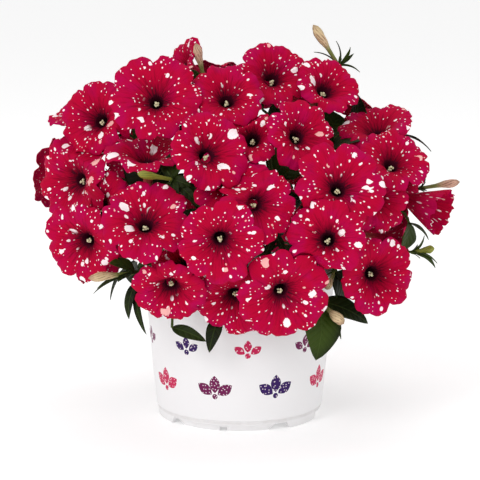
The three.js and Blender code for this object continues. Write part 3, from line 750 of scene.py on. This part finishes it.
# A soft petunia leaf: broad, pointed, folded along its midrib, its edge slightly waved
def addLeaf(bin, foot, tip, width, seed, settings):
    length = np.linalg.norm(tip - foot)
    run = (tip - foot) / length
    sky = unit(np.array([foot[0], foot[1], 0.0])) * 0.8 + np.array([0, 0, 0.6])
    side = unit(np.cross(run, sky))
    face = np.cross(side, run)
    point, blunt = (0.87, 1) if width < settings["slim"] else (0.75, 0.75)
    across = np.linspace(-1, 1, settings["across"])
    rings, plane = [], []
    for t in np.linspace(0, 1, settings["rows"]):
        half = 0.5 * math.sin(math.pi * t ** point) ** blunt
        half = max(half, (0.5 if t < 0.5 else 0.03) / width)
        middle = foot + run * length * t + face * settings["arch"] * length * t * (1 - t)
        wave = settings["wave"] * width * math.sin(11 * t + seed)
        lift = np.abs(across) ** 1.3 * settings["fold"] * width * half
        lift = lift + wave * across ** 2 * np.sign(across) * (1 - t)
        top = middle + np.outer(across * half * width, side) + np.outer(lift, face)
        thick = settings["blade"] * (1 - np.abs(across) ** 4)
        thick = thick + settings["midrib"] * np.exp(-(across * 6) ** 2) * (1 - t)
        under = top - np.outer(thick + settings["skin"], face)
        rings.append(np.vstack([top + settings["skin"] * face, under[::-1]]))
        u = across * half * width
        u = np.concatenate([u, u[::-1], u[:1]])
        plane.append(np.stack([u, np.full(len(u), length * t)], 1))
    addLoft(bin, rings, 1, np.array(plane))


calyxSettings = {
    # Radius and height of the cup's rings
    "cup": [(1.0, -4.2), (1.9, -3.0), (2.4, -1.4), (2.5, 0.2), (2.3, 0.6)],
    "cupSides": 10,
    "sepals": 5,
    "rows": 7,
    "length": 5.8,
    "spread": 5.5,
    "halfWidth": 1.45,
    "budScale": 0.7,
}


# Five narrow sepals spreading from the cup that holds a bloom's tube or a bud
def addCalyx(bin, foot, face, settings, scale=1.0):
    flat = np.array([1.0, 0, 0]) if abs(face[2]) > 0.9 else np.array([0, 0, 1.0])
    right = unit(np.cross(flat, face))
    up = np.cross(face, right)
    a = 2 * np.pi * np.arange(settings["cupSides"]) / settings["cupSides"]
    spokes = np.outer(np.cos(a), right) + np.outer(np.sin(a), up)
    addLoft(bin, [foot + spokes * radius * scale + face * height * scale for radius, height in settings["cup"]])
    for i in range(settings["sepals"]):
        a = 2 * math.pi * (i + 0.5) / settings["sepals"]
        out = right * math.cos(a) + up * math.sin(a)
        side = np.cross(face, out)
        lift = unit(face * 0.7 - out * 0.7)
        rings = []
        for t in np.linspace(0, 1, settings["rows"]):
            reach, rise = 2.1 + settings["spread"] * t ** 1.3, settings["length"] * t - 1
            middle = foot + (out * reach + face * rise) * scale
            w = settings["halfWidth"] * math.sin(math.pi * min(0.25 + 0.75 * t, 0.985)) ** 0.8 * scale
            section = [(-1, 0), (-0.5, -0.3), (0.5, -0.3), (1, 0), (0.5, 0.25), (-0.5, 0.25)]
            rings.append([middle + side * w * u + lift * v for u, v in section])
        addLoft(bin, rings)


budSettings = {
    "sides": 20,
    "rows": 16,
    # Shares of the length, and the radii there: the tube's, shares of the head's, and the tip's
    "places": [0, 0.2, 0.42, 0.6, 0.78, 0.92, 1],
    "tube": [1.3, 1.35, 1.6],
    "head": [0.8, 1, 0.72],
    "tip": 0.35,
    # A head slimmer than this is a young, green bud's
    "young": 3,
    "pleats": 5,
    "pleatDepth": 0.16,
    "twist": 2.4,
}


# A bud with its limb still pleated round itself. The UV map of a young one is offset, which the material reads.
def addBud(bin, foot, tip, head, seed, settings):
    length = np.linalg.norm(tip - foot)
    run = (tip - foot) / length
    side = unit(np.cross(run, np.array([0, 0, 1.0]) if abs(run[2]) < 0.9 else np.array([1.0, 0, 0])))
    other = np.cross(run, side)
    sides = settings["sides"]
    a = 2 * np.pi * np.arange(sides) / sides
    spoke = np.outer(np.cos(a), side) + np.outer(np.sin(a), other)
    around = np.arange(sides + 1) / sides + 10 * (head < settings["young"])
    radii = settings["tube"] + [share * head for share in settings["head"]] + [settings["tip"]]
    rings, plane = [], []
    for t in np.linspace(0, 1, settings["rows"]):
        radius = np.interp(t, settings["places"], radii)
        pleat = np.cos(settings["pleats"] * (a + settings["twist"] * t + seed))
        pleat = 1 + settings["pleatDepth"] * pleat * min(1, max(0, (t - 0.4) / 0.2))
        rings.append(foot + run * length * t + spoke * (radius * pleat)[:, None])
        plane.append(np.stack([around, np.full(sides + 1, t)], 1))
    addLoft(bin, rings, 2, np.array(plane))


# Stalks and stems grow along their lines
def makeStalks(name, paths, material):
    points, edges, radii = [], [], []
    for path, thick, thin in paths:
        start = len(points)
        points += list(path)
        edges += [(start + i, start + i + 1) for i in range(len(path) - 1)]
        radii += list(np.linspace(thick, thin, len(path)))
    tree, given = newTree(name + "Tree", {"Sides": ("NodeSocketInt", stemSettings["sides"])})
    lines = addNode(tree, "GeometryNodeMeshToCurve", [given["Geometry"]])
    thickness = addNode(tree, "GeometryNodeInputNamedAttribute", {"Name": "thickness"}, data_type="FLOAT")
    section = addNode(tree, "GeometryNodeCurvePrimitiveCircle", {"Resolution": given["Sides"], "Radius": 1.0})
    tubes = addNode(
        tree, "GeometryNodeCurveToMesh",
        {"Curve": lines, "Profile Curve": section, "Scale": thickness, "Fill Caps": True},
    )
    endTree(tree, tubes, material)
    obj = growTree(makePoints(name, points, edges, "thickness", radii), tree, {"Sides": stemSettings["sides"]})
    obj.data.shade_smooth()
    return obj


def makeGreens(laid, materials):
    count, stalk = stemSettings["count"], stemSettings["stalk"]
    bins = [newBin() for _ in range(count)]
    paths = []
    for k in range(count):
        line = [stemAxis(k, u) for u in np.linspace(0, 1, 25)]
        paths.append([(line, stemSettings["radius"], stemSettings["tipRadius"])])
    for one in laid:
        axes = one["frame"]
        seat = axes["at"] - axes["face"] * (bloomSettings["tubeLength"] + 0.6)
        k = sectorOf(seat)
        line = stalkPath(seat - axes["face"] * 4, -axes["face"], k)
        paths[k].append((line, stalk, stemSettings["bloomStalk"]))
        addCalyx(bins[k], seat, axes["face"], calyxSettings)
    for n, spray in enumerate(frontSprays + rimSprays() + innerSprays()):
        foot, leaves, buds = np.array(spray["foot"], float), spray["leaves"], spray.get("buds", [])
        k = spray.get("stem", sectorOf(foot))
        if "stem" not in spray:
            tips = np.array([tip[:3] for tip in leaves + buds], float)
            line = stalkPath(foot, unit(foot - np.mean(tips, 0)), k)
            paths[k].append((line, stalk, stemSettings["sprayStalk"]))
        for i, (*tip, width) in enumerate(leaves):
            addLeaf(bins[k], foot, np.array(tip, float), width, 3 * n + i, leafSettings)
        for i, (*tip, head) in enumerate(buds):
            tip = np.array(tip, float)
            run = unit(tip - foot)
            addCalyx(bins[k], foot + run, run, calyxSettings, calyxSettings["budScale"])
            addBud(bins[k], foot, tip, head, n + i, budSettings)
    for k in range(count):
        declare(makeObject(f"leafyStem{k + 1}", bins[k], materials), "greenery", f"stem_{k + 1}")
        declare(makeStalks(f"stalks{k + 1}", paths[k], materials[0]), "greenery", f"stem_{k + 1}")


# Stem: soft green shoot with fine hairs, dull; a touch browner than the leaves
def makeStemMaterial():
    material, tree, shader = newMaterial("greenShoot")
    place = addNode(tree, "ShaderNodeTexCoord").outputs["Object"]
    # Patches of 11 mm, and hairs drawn as grain of half a millimetre, as single ones are too fine to show
    noise = addNode(tree, "ShaderNodeTexNoise", {"Vector": place, "Scale": 90.0, "Detail": 3.0})
    share = addNode(tree, "ShaderNodeMapRange", [noise, 0.35, 0.65], **smooth)
    colour = addNode(tree, "ShaderNodeMix", {0: share, 6: linear("28370F"), 7: linear("4A5B22")}, data_type="RGBA")
    hairs = addNode(tree, "ShaderNodeTexNoise", {"Vector": place, "Scale": 2200.0, "Detail": 1.0})
    bump = addNode(tree, "ShaderNodeBump", {"Height": hairs, "Strength": 0.4, "Distance": 0.2 * mm})
    setInputs(tree, shader, {"Base Color": colour, "Normal": bump, "Roughness": 0.65, "Specular IOR Level": 0.25})
    return material


# Leaf: dark green, slightly glossy, pale midrib and side veins about 5 mm apart
def makeLeafMaterial():
    material, tree, shader = newMaterial("petuniaLeaf")
    plane = addNode(tree, "ShaderNodeUVMap", uv_map="plane")
    across, along, _ = addNode(tree, "ShaderNodeSeparateXYZ", [plane]).outputs
    aside = addNode(tree, "ShaderNodeMath", [across], operation="ABSOLUTE")
    slanted = addNode(tree, "ShaderNodeMath", [aside, -0.9, along], operation="MULTIPLY_ADD")
    phase = addNode(tree, "ShaderNodeMath", [slanted, 2 * math.pi / 5], operation="MULTIPLY")
    ripple = addNode(tree, "ShaderNodeMath", [phase], operation="COSINE")
    sideVeins = addNode(tree, "ShaderNodeMapRange", [ripple, 0.93, 1.0], **smooth)
    sideVeins = addNode(tree, "ShaderNodeMath", [sideVeins, 0.6], operation="MULTIPLY")
    midrib = addNode(tree, "ShaderNodeMapRange", [aside, 0.55, 0.2], **smooth)
    veins = addNode(tree, "ShaderNodeMath", [midrib, sideVeins], operation="MAXIMUM")
    pale = addNode(tree, "ShaderNodeMath", [veins, 0.35], operation="MULTIPLY")
    place = addNode(tree, "ShaderNodeTexCoord").outputs["Object"]
    # Patches of 17 mm, and whole leaves in places 40 mm across that are a fresher green
    noise = addNode(tree, "ShaderNodeTexNoise", {"Vector": place, "Scale": 60.0, "Detail": 3.0})
    share = addNode(tree, "ShaderNodeMapRange", [noise, 0.35, 0.7], **smooth)
    fresh = addNode(tree, "ShaderNodeTexNoise", {"Vector": place, "Scale": 25.0, "Detail": 0.0})
    fresh = addNode(tree, "ShaderNodeMapRange", [fresh, 0.5, 0.68, 0.0, 0.6], **smooth)
    colour = linear("111904")
    for share, green in ((share, "212D07"), (fresh, "3C5010"), (pale, "42561F")):
        colour = addNode(tree, "ShaderNodeMix", {0: share, 6: colour, 7: linear(green)}, data_type="RGBA")
    sunk = addNode(tree, "ShaderNodeMath", [veins, -1.0], operation="MULTIPLY")
    puff = addNode(tree, "ShaderNodeMath", [ripple, -0.35, sunk], operation="MULTIPLY_ADD")
    bump = addNode(tree, "ShaderNodeBump", {"Height": puff, "Strength": 0.5, "Distance": 0.5 * mm})
    setInputs(tree, shader, {"Base Color": colour, "Normal": bump, "Roughness": 0.55, "Specular IOR Level": 0.15})
    return material


# Bud: beige pleated limb over a greenish tube, flushed pink, veined and tipped brown; young ones still green
def makeBudMaterial():
    material, tree, shader = newMaterial("creamBud")
    plane = addNode(tree, "ShaderNodeUVMap", uv_map="plane")
    around, along, _ = addNode(tree, "ShaderNodeSeparateXYZ", [plane]).outputs
    twisted = addNode(tree, "ShaderNodeMath", [along, 0.4, around], operation="MULTIPLY_ADD")
    twisted = addNode(tree, "ShaderNodeMath", [twisted, 2 * math.pi * 10], operation="MULTIPLY")
    lines = addNode(tree, "ShaderNodeMath", [twisted], operation="COSINE")
    limb = addNode(tree, "ShaderNodeMapRange", [along, 0.35, 0.6], **smooth)
    # The flush differs from bud to bud, over 70 mm, and the brown of the ten lines is broken every 2 mm
    place = addNode(tree, "ShaderNodeTexCoord").outputs["Object"]
    where = addNode(tree, "ShaderNodeTexNoise", {"Vector": place, "Scale": 14.0, "Detail": 0.0})
    blush = addNode(tree, "ShaderNodeMapRange", [where, 0.42, 0.58], **smooth)
    head = addNode(tree, "ShaderNodeMapRange", [along, 0.4, 0.7], **smooth)
    blush = addNode(tree, "ShaderNodeMath", [blush, head], operation="MULTIPLY")
    blush = addNode(tree, "ShaderNodeMath", [blush, 0.8], operation="MULTIPLY")
    fine = addNode(tree, "ShaderNodeTexNoise", {"Vector": place, "Scale": 420.0, "Detail": 2.0})
    broken = addNode(tree, "ShaderNodeMapRange", [fine, 0.4, 0.6, 0.15, 0.85], **smooth)
    brown = addNode(tree, "ShaderNodeMapRange", [lines, 0.2, 1.0], **smooth)
    brown = addNode(tree, "ShaderNodeMath", [brown, broken], operation="MULTIPLY")
    tip = addNode(tree, "ShaderNodeMapRange", [along, 0.88, 1.0, 0.0, 0.6], **smooth)
    brown = addNode(tree, "ShaderNodeMath", [brown, tip], operation="MAXIMUM")
    colour = linear("74803A")
    for share, tone in ((limb, "D6BE92"), (blush, "D09C8C"), (brown, "6E4632")):
        colour = addNode(tree, "ShaderNodeMix", {0: share, 6: colour, 7: linear(tone)}, data_type="RGBA")
    streaks = addNode(tree, "ShaderNodeMapRange", [lines, 0.2, 1.0, 0.0, 0.6], **smooth)
    green = addNode(tree, "ShaderNodeMix", {0: streaks, 6: linear("8F9233"), 7: linear("4C5418")}, data_type="RGBA")
    young = addNode(tree, "ShaderNodeMath", [around, 5.0], operation="GREATER_THAN")
    colour = addNode(tree, "ShaderNodeMix", {0: young, 6: colour, 7: green}, data_type="RGBA")
    setInputs(tree, shader, {"Base Color": colour, "Roughness": 0.55})
    return material


makeGreens(laid, [makeStemMaterial(), makeLeafMaterial(), makeBudMaterial()])
print("greenery made")

# Soil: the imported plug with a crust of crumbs

soilSettings = {"radius": 66.5, "height": 97.4, "sides": 64, "crumbs": 2600, "crumbSize": 1.3, "seed": 7}


# Potting mix: dark peat with bark crumbs of 3 mm and finer, matt and broken
def makeSoilMaterial():
    material, tree, shader = newMaterial("peatMix")
    place = addNode(tree, "ShaderNodeTexCoord").outputs["Object"]
    noise = addNode(tree, "ShaderNodeTexNoise", {"Vector": place, "Scale": 300.0, "Detail": 6.0})
    share = addNode(tree, "ShaderNodeMapRange", [noise, 0.3, 0.75], **smooth)
    colour = addNode(tree, "ShaderNodeMix", {0: share, 6: linear("1B120B"), 7: linear("4A3524")}, data_type="RGBA")
    bump = addNode(tree, "ShaderNodeBump", {"Height": noise, "Strength": 0.8, "Distance": mm})
    setInputs(tree, shader, {"Base Color": colour, "Normal": bump, "Roughness": 0.95})
    return material


def makeCrumbs(settings, material):
    sides = settings["sides"]
    a = 2 * np.pi * np.arange(sides) / sides
    circle = np.stack([np.cos(a), np.sin(a), 0 * a], 1)
    top = np.array([0, 0, settings["height"]])
    mesh = bpy.data.meshes.new("crumbDisc")
    points = [(circle * settings["radius"] * share + top) * mm for share in (0.999, 0.5, 0.02)]
    faces = [
        (j * sides + i, j * sides + (i + 1) % sides, (j + 1) * sides + (i + 1) % sides, (j + 1) * sides + i)
        for j in range(2) for i in range(sides)
    ]
    mesh.from_pydata(np.vstack(points).tolist(), [], faces)
    tree, given = newTree("crumbTree", {
        "Density": ("NodeSocketFloat", 1.0), "Seed": ("NodeSocketInt", 1), "Size": ("NodeSocketFloat", mm),
    })
    spots = addNode(
        tree, "GeometryNodeDistributePointsOnFaces",
        {"Mesh": given["Geometry"], "Density": given["Density"], "Seed": given["Seed"]},
    )
    crumb = addNode(tree, "GeometryNodeMeshIcoSphere", {"Radius": given["Size"], "Subdivisions": 1})
    turn, size = [
        addNode(tree, "FunctionNodeRandomValue", {0: low, 1: high, "Seed": given["Seed"]}, data_type="FLOAT_VECTOR")
        for low, high in (((0.0, 0.0, 0.0), (6.28, 6.28, 6.28)), ((0.4, 0.4, 0.3), (1.6, 1.3, 0.9)))
    ]
    crumbs = addNode(
        tree, "GeometryNodeInstanceOnPoints", {"Points": spots, "Instance": crumb, "Rotation": turn, "Scale": size},
    )
    endTree(tree, crumbs, material)
    density = settings["crumbs"] / (math.pi * (settings["radius"] * mm) ** 2)
    values = {"Density": density, "Seed": settings["seed"], "Size": settings["crumbSize"] * mm}
    return growTree(addObject("soilCrumbs", mesh), tree, values)


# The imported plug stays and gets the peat, with the crumbs on it
peat = makeSoilMaterial()
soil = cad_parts["soil"]
soil.data.materials.clear()
soil.data.materials.append(peat)
declare(makeCrumbs(soilSettings, peat), "soil")
print("soil made")

# Pot: a turned wall with a plain rim band, on three lugs and three notched skirts

potSettings = {
    "sides": 144,
    # Radius and height, up the outside and down the inside
    "profile": [
        (0.1, 5), (60.2, 5), (60.9, 5.5), (60.9, 8.2), (61.3, 8.5), (61.9, 8.9), (65.9, 53.6), (69.7, 97.0),
        (70.0, 97.9), (71.0, 98.5), (71.2, 99.1), (71.2, 107.4), (71.0, 107.9), (70.6, 108), (69.9, 108),
        (69.5, 107.8), (69.4, 107.4), (68.5, 98), (63.6, 51.4), (59.2, 8.2), (58.4, 6.7), (57.6, 6.6), (0.1, 6.6),
    ],
    # Section of each block under the foot, the turn of the first of three, and the degrees that it spans
    "lug": {
        "section": [(60.6, 6.2), (60.5, 1.4), (60.2, 0.4), (59.6, 0), (57.2, 0), (56.4, 6.2)],
        "turn": 51.5,
        "topSpan": 35,
        "bottomSpan": 27,
    },
    "skirt": {
        "section": [(59.8, 6.2), (56.6, 0.2), (56.2, 0), (54.9, 0), (57.5, 6.2)],
        "turn": -11.5,
        "topSpan": 77,
        "bottomSpan": 66,
    },
    # Width, depth and height of the cutter
    "notch": (5.5, 12, 7),
    "notchRadius": 57,
    "holes": 4,
    "holeTurn": 17,
    "holeRadius": 4.0,
    "holeCircle": 36.0,
    "holeSides": 28,
    # Edges sharper than this many degrees stay sharp
    "smoothUnder": 35,
}


def cutOrJoin(obj, other, operation):
    modifier = obj.modifiers.new(operation, "BOOLEAN")
    modifier.operation = operation
    modifier.solver = "EXACT"
    modifier.object = other
    applied(obj, modifier)
    bpy.data.objects.remove(other)


# The section turned round a rail, a small circle about the pot's axis
def makePotWall(settings, material):
    rail = 10 * mm
    mesh = bpy.data.meshes.new("potSection")
    points = [(r * mm - rail, -z * mm, 0) for r, z in settings["profile"]]
    count = len(points)
    mesh.from_pydata(points, [(i, (i + 1) % count) for i in range(count)], [])
    tree, given = newTree("turnedWall", {
        "Sides": ("NodeSocketInt", settings["sides"]), "Rail": ("NodeSocketFloat", rail),
    })
    section = addNode(tree, "GeometryNodeMeshToCurve", [given["Geometry"]])
    circle = addNode(
        tree, "GeometryNodeCurvePrimitiveCircle", {"Resolution": given["Sides"], "Radius": given["Rail"]},
    )
    wall = addNode(tree, "GeometryNodeCurveToMesh", {"Curve": circle, "Profile Curve": section})
    endTree(tree, wall, material)
    return growTree(addObject("flowerPot", mesh), tree, {"Sides": settings["sides"], "Rail": rail})


def faceOutwards(obj):
    work = bmesh.new()
    work.from_mesh(obj.data)
    bmesh.ops.remove_doubles(work, verts=work.verts, dist=1e-6)
    bmesh.ops.recalc_face_normals(work, faces=work.faces)
    work.to_mesh(obj.data)
    work.free()
    return obj


# One block under the foot: its section swept round part of a turn, narrower below
def makeFoot(name, foot, turn, material):
    height = max(z for _, z in foot["section"])
    rings = []
    for f in np.linspace(-0.5, 0.5, 21):
        spans = [foot["bottomSpan"] + (foot["topSpan"] - foot["bottomSpan"]) * z / height for _, z in foot["section"]]
        rings.append([polarPoint(r, turn + f * span, z) for (r, z), span in zip(foot["section"], spans)])
    bin = newBin()
    addLoft(bin, rings)
    return faceOutwards(makeObject(name, bin, [material]))


def makeCutter(points, faces):
    mesh = bpy.data.meshes.new("cutter")
    mesh.from_pydata([tuple(p * mm) for p in points], [], faces)
    return faceOutwards(addObject("cutter", mesh))


def makePot(settings, material):
    wall = faceOutwards(makePotWall(settings, material))
    boxFaces = [(0, 1, 3, 2), (4, 6, 7, 5), (0, 4, 5, 1), (2, 3, 7, 6), (0, 2, 6, 4), (1, 5, 7, 3)]
    wide, deep, high = [side / 2 for side in settings["notch"]]
    for k in range(3):
        cutOrJoin(wall, makeFoot("lug", settings["lug"], settings["lug"]["turn"] + 120 * k, material), "UNION")
        turn = settings["skirt"]["turn"] + 120 * k
        skirt = makeFoot("skirt", settings["skirt"], turn, material)
        middle = polarPoint(settings["notchRadius"], turn, 0)
        across, outward, up = polarPoint(1, turn + 90, 0), polarPoint(1, turn, 0), np.array([0, 0, 1.0])
        corners = [
            middle + across * i * wide + outward * j * deep + up * high * level
            for i in (-1, 1) for j in (-1, 1) for level in (-1, 1)
        ]
        cutOrJoin(skirt, makeCutter(corners, boxFaces), "DIFFERENCE")
        cutOrJoin(wall, skirt, "UNION")
    sides = settings["holeSides"]
    for k in range(settings["holes"]):
        middle = polarPoint(settings["holeCircle"], 360 / settings["holes"] * k + settings["holeTurn"], 0)
        corners = [
            middle + polarPoint(settings["holeRadius"], 360 * i / sides, z) for z in (2, 10) for i in range(sides)
        ]
        faces = [(i, (i + 1) % sides, (i + 1) % sides + sides, i + sides) for i in range(sides)]
        faces += [tuple(range(sides))[::-1], tuple(range(sides, 2 * sides))]
        cutOrJoin(wall, makeCutter(corners, faces), "DIFFERENCE")
    wall.data.shade_smooth()
    wall.data.set_sharp_from_angle(angle=math.radians(settings["smoothUnder"]))
    wall.data.materials.clear()
    wall.data.materials.append(material)
    wall.data.polygons.foreach_set("material_index", [0] * len(wall.data.polygons))
    return wall


# Print on the pot: sprigs of three pointed leaves over a dot, flecked white, in rows round the wall
printSettings = {
    "radius": 65.0,
    "outside": 60.5,
    # How many, turn, height, leaf length, half its width, which ink comes first
    "rows": [(9, 0.15, 27.0, 13.0, 4.0, 0), (9, 0.62, 58.0, 9.0, 2.8, 1)],
    "spread": (35, 90, 145),
    "dot": 2.0,
    "leafStart": 2.6,
    "inks": ("2E0458", "C41050", "6C0A4C"),
    "fleck": "F6E8EE",
}
# The greyer colour is painted shade for the crease over the foot and for the foot itself
potColours = {"plastic": "EFEEEF", "paintedFootShade": "ABA49F"}


# White polypropylene, injection moulded: satin, faintly cool, with the finest mould grain
def makePotMaterial(settings):
    material, tree, shader = newMaterial("whitePolypropylene")
    place = addNode(tree, "ShaderNodeTexCoord").outputs["Object"]
    x, y, z = addNode(tree, "ShaderNodeSeparateXYZ", [place]).outputs
    height = addNode(tree, "ShaderNodeMath", [z, 1 / mm], operation="MULTIPLY")

    # Painted shade: a darker band in the crease over the lugs and skirts, broken in clouds of 8 mm, and the lugs and
    # skirts a little darker than the wall
    fromCrease = addNode(tree, "ShaderNodeMath", [height, 7.0], operation="SUBTRACT")
    fromCrease = addNode(tree, "ShaderNodeMath", [fromCrease], operation="ABSOLUTE")
    creaseShade = addNode(tree, "ShaderNodeMapRange", [fromCrease, 2.0, 0.4, 0.0, 0.3], **smooth)
    # Painted shade: the lugs and skirts darker towards the ground
    low = addNode(tree, "ShaderNodeMapRange", [height, 8.6, 1.0, 0.0, 0.14], **smooth)
    cloudy = addNode(tree, "ShaderNodeTexNoise", {"Vector": place, "Scale": 120.0, "Detail": 3.0})
    cloudy = addNode(tree, "ShaderNodeMapRange", [cloudy, 0.3, 0.6, 0.6, 1.0], **smooth)
    paintedFootShade = addNode(tree, "ShaderNodeMath", [creaseShade, low], operation="MAXIMUM")
    paintedFootShade = addNode(tree, "ShaderNodeMath", [paintedFootShade, cloudy], operation="MULTIPLY")
    plastic, footShadeTone = linear(potColours["plastic"]), linear(potColours["paintedFootShade"])
    colour = addNode(tree, "ShaderNodeMix", {0: paintedFootShade, 6: plastic, 7: footShadeTone}, data_type="RGBA")

    # The wall rolled out flat, in millimetres, where its outside is, and flecks 2.4 mm apart
    turns = addNode(tree, "ShaderNodeMath", [y, x], operation="ARCTAN2")
    turns = addNode(tree, "ShaderNodeMath", [turns, 1 / (2 * math.pi)], operation="MULTIPLY")
    around = addNode(tree, "ShaderNodeMath", [turns, 2 * math.pi * settings["radius"]], operation="MULTIPLY")
    flat = addNode(tree, "ShaderNodeCombineXYZ", [around, height])
    squares = [addNode(tree, "ShaderNodeMath", [side, side], operation="MULTIPLY") for side in (x, y)]
    outer = addNode(tree, "ShaderNodeMath", squares, operation="ADD")
    outside = addNode(tree, "ShaderNodeMath", [outer, (settings["outside"] * mm) ** 2], operation="GREATER_THAN")
    flecks = addNode(tree, "ShaderNodeTexVoronoi", {"Vector": flat, "Scale": 0.42}, voronoi_dimensions="2D")
    flecks = addNode(tree, "ShaderNodeMapRange", [flecks, 0.2, 0.15], **smooth)
    flecks = addNode(tree, "ShaderNodeMath", [flecks, 0.8], operation="MULTIPLY")

    for count, turn, level, length, half, shift in settings["rows"]:
        # p and q are millimetres from the sprig's foot, and cell is its number round the pot
        station = addNode(tree, "ShaderNodeMath", [turns, count, 50 + turn], operation="MULTIPLY_ADD")
        cell = addNode(tree, "ShaderNodeMath", [station], operation="FLOOR")
        p = addNode(tree, "ShaderNodeMath", [station], operation="FRACT")
        p = addNode(tree, "ShaderNodeMath", [p, 0.5], operation="SUBTRACT")
        p = addNode(tree, "ShaderNodeMath", [p, 2 * math.pi * settings["radius"] / count], operation="MULTIPLY")
        q = addNode(tree, "ShaderNodeMath", [height, level], operation="SUBTRACT")
        squares = [addNode(tree, "ShaderNodeMath", [side, side], operation="MULTIPLY") for side in (p, q)]
        away = addNode(tree, "ShaderNodeMath", squares, operation="ADD")
        away = addNode(tree, "ShaderNodeMath", [away], operation="SQRT")
        sprig = addNode(tree, "ShaderNodeMath", [away, settings["dot"]], operation="LESS_THAN")
        for degrees in settings["spread"]:
            c, sn = math.cos(math.radians(degrees)), math.sin(math.radians(degrees))
            forward = addNode(tree, "ShaderNodeMath", [p, c], operation="MULTIPLY")
            forward = addNode(tree, "ShaderNodeMath", [q, sn, forward], operation="MULTIPLY_ADD")
            aside = addNode(tree, "ShaderNodeMath", [p, -sn], operation="MULTIPLY")
            aside = addNode(tree, "ShaderNodeMath", [q, c, aside], operation="MULTIPLY_ADD")
            aside = addNode(tree, "ShaderNodeMath", [aside], operation="ABSOLUTE")
            start = -settings["leafStart"] / length
            share = addNode(tree, "ShaderNodeMath", [forward, 1 / length, start], operation="MULTIPLY_ADD")
            rest = addNode(tree, "ShaderNodeMath", [1.0, share], operation="SUBTRACT")
            bulge = addNode(tree, "ShaderNodeMath", [share, rest], operation="MULTIPLY")
            bulge = addNode(tree, "ShaderNodeMath", [bulge, 4 * half], operation="MULTIPLY")
            leaf = addNode(tree, "ShaderNodeMath", [aside, bulge], operation="LESS_THAN")
            sprig = addNode(tree, "ShaderNodeMath", [sprig, leaf], operation="MAXIMUM")
        kind = addNode(tree, "ShaderNodeMath", [cell, shift], operation="ADD")
        kind = addNode(tree, "ShaderNodeMath", [kind, 3.0], operation="MODULO")
        ink = linear(settings["inks"][0])
        for i in (1, 2):
            later = addNode(tree, "ShaderNodeMath", [kind, i - 0.5], operation="GREATER_THAN")
            mixed = {0: later, 6: ink, 7: linear(settings["inks"][i])}
            ink = addNode(tree, "ShaderNodeMix", mixed, data_type="RGBA")
        ink = addNode(tree, "ShaderNodeMix", {0: flecks, 6: ink, 7: linear(settings["fleck"])}, data_type="RGBA")
        sprig = addNode(tree, "ShaderNodeMath", [sprig, outside], operation="MULTIPLY")
        colour = addNode(tree, "ShaderNodeMix", {0: sprig, 6: colour, 7: ink}, data_type="RGBA")

    # Mould grain, drawn at half a millimetre, as the real one is too fine to show
    noise = addNode(tree, "ShaderNodeTexNoise", {"Vector": place, "Scale": 1800.0, "Detail": 1.0})
    bump = addNode(tree, "ShaderNodeBump", {"Height": noise, "Strength": 0.08, "Distance": 0.2 * mm})
    setInputs(tree, shader, {
        "Base Color": colour, "Normal": bump, "Roughness": 0.42, "Specular IOR Level": 0.25, "IOR": 1.49,
    })
    return material


declare(makePot(potSettings, makePotMaterial(printSettings)), "pot", "pot")
print("pot made")

# Studio: metres and watts

studioSettings = {
    "floorHalf": 6,
    "floor": "FAFAFA",
    "floorGlow": 0.24,
    "world": 0.72,
    "aim": (0, 0, 0.15),
    # Place, size and power of each lamp
    "lamps": {
        "key": ((-1.0, -1.6, 1.3), 0.8, 13),
        "fill": ((1.3, -1.2, 0.8), 1.2, 2),
        "top": ((0.1, 0.3, 1.9), 1.2, 5),
    },
}


def makeStudio(settings):
    half = settings["floorHalf"]
    mesh = bpy.data.meshes.new("floor")
    mesh.from_pydata([(-half, -half, 0), (half, -half, 0), (half, half, 0), (-half, half, 0)], [], [(0, 1, 2, 3)])
    # Matt paper, glowing faintly so that it comes out nearly white
    paper, tree, shader = newMaterial("paleFloor")
    setInputs(tree, shader, {
        "Base Color": linear(settings["floor"]), "Roughness": 0.9,
        "Emission Color": (1, 1, 1, 1), "Emission Strength": settings["floorGlow"],
    })
    mesh.materials.append(paper)
    addObject("floor", mesh)
    scene = bpy.context.scene
    scene.world = scene.world or bpy.data.worlds.new("studio")
    scene.world.use_nodes = True
    tree = scene.world.node_tree
    setInputs(tree, tree.nodes["Background"], {"Color": (1, 1, 1, 1), "Strength": settings["world"]})
    for name, (place, size, power) in settings["lamps"].items():
        data = bpy.data.lights.new(name, "AREA")
        data.size = size
        data.energy = power
        lamp = addObject(name, data)
        lamp.location = place
        lamp.rotation_euler = (Vector(settings["aim"]) - lamp.location).to_track_quat("-Z", "Y").to_euler()
    scene.view_settings.view_transform = "Standard"


makeStudio(studioSettings)
print("studio made")
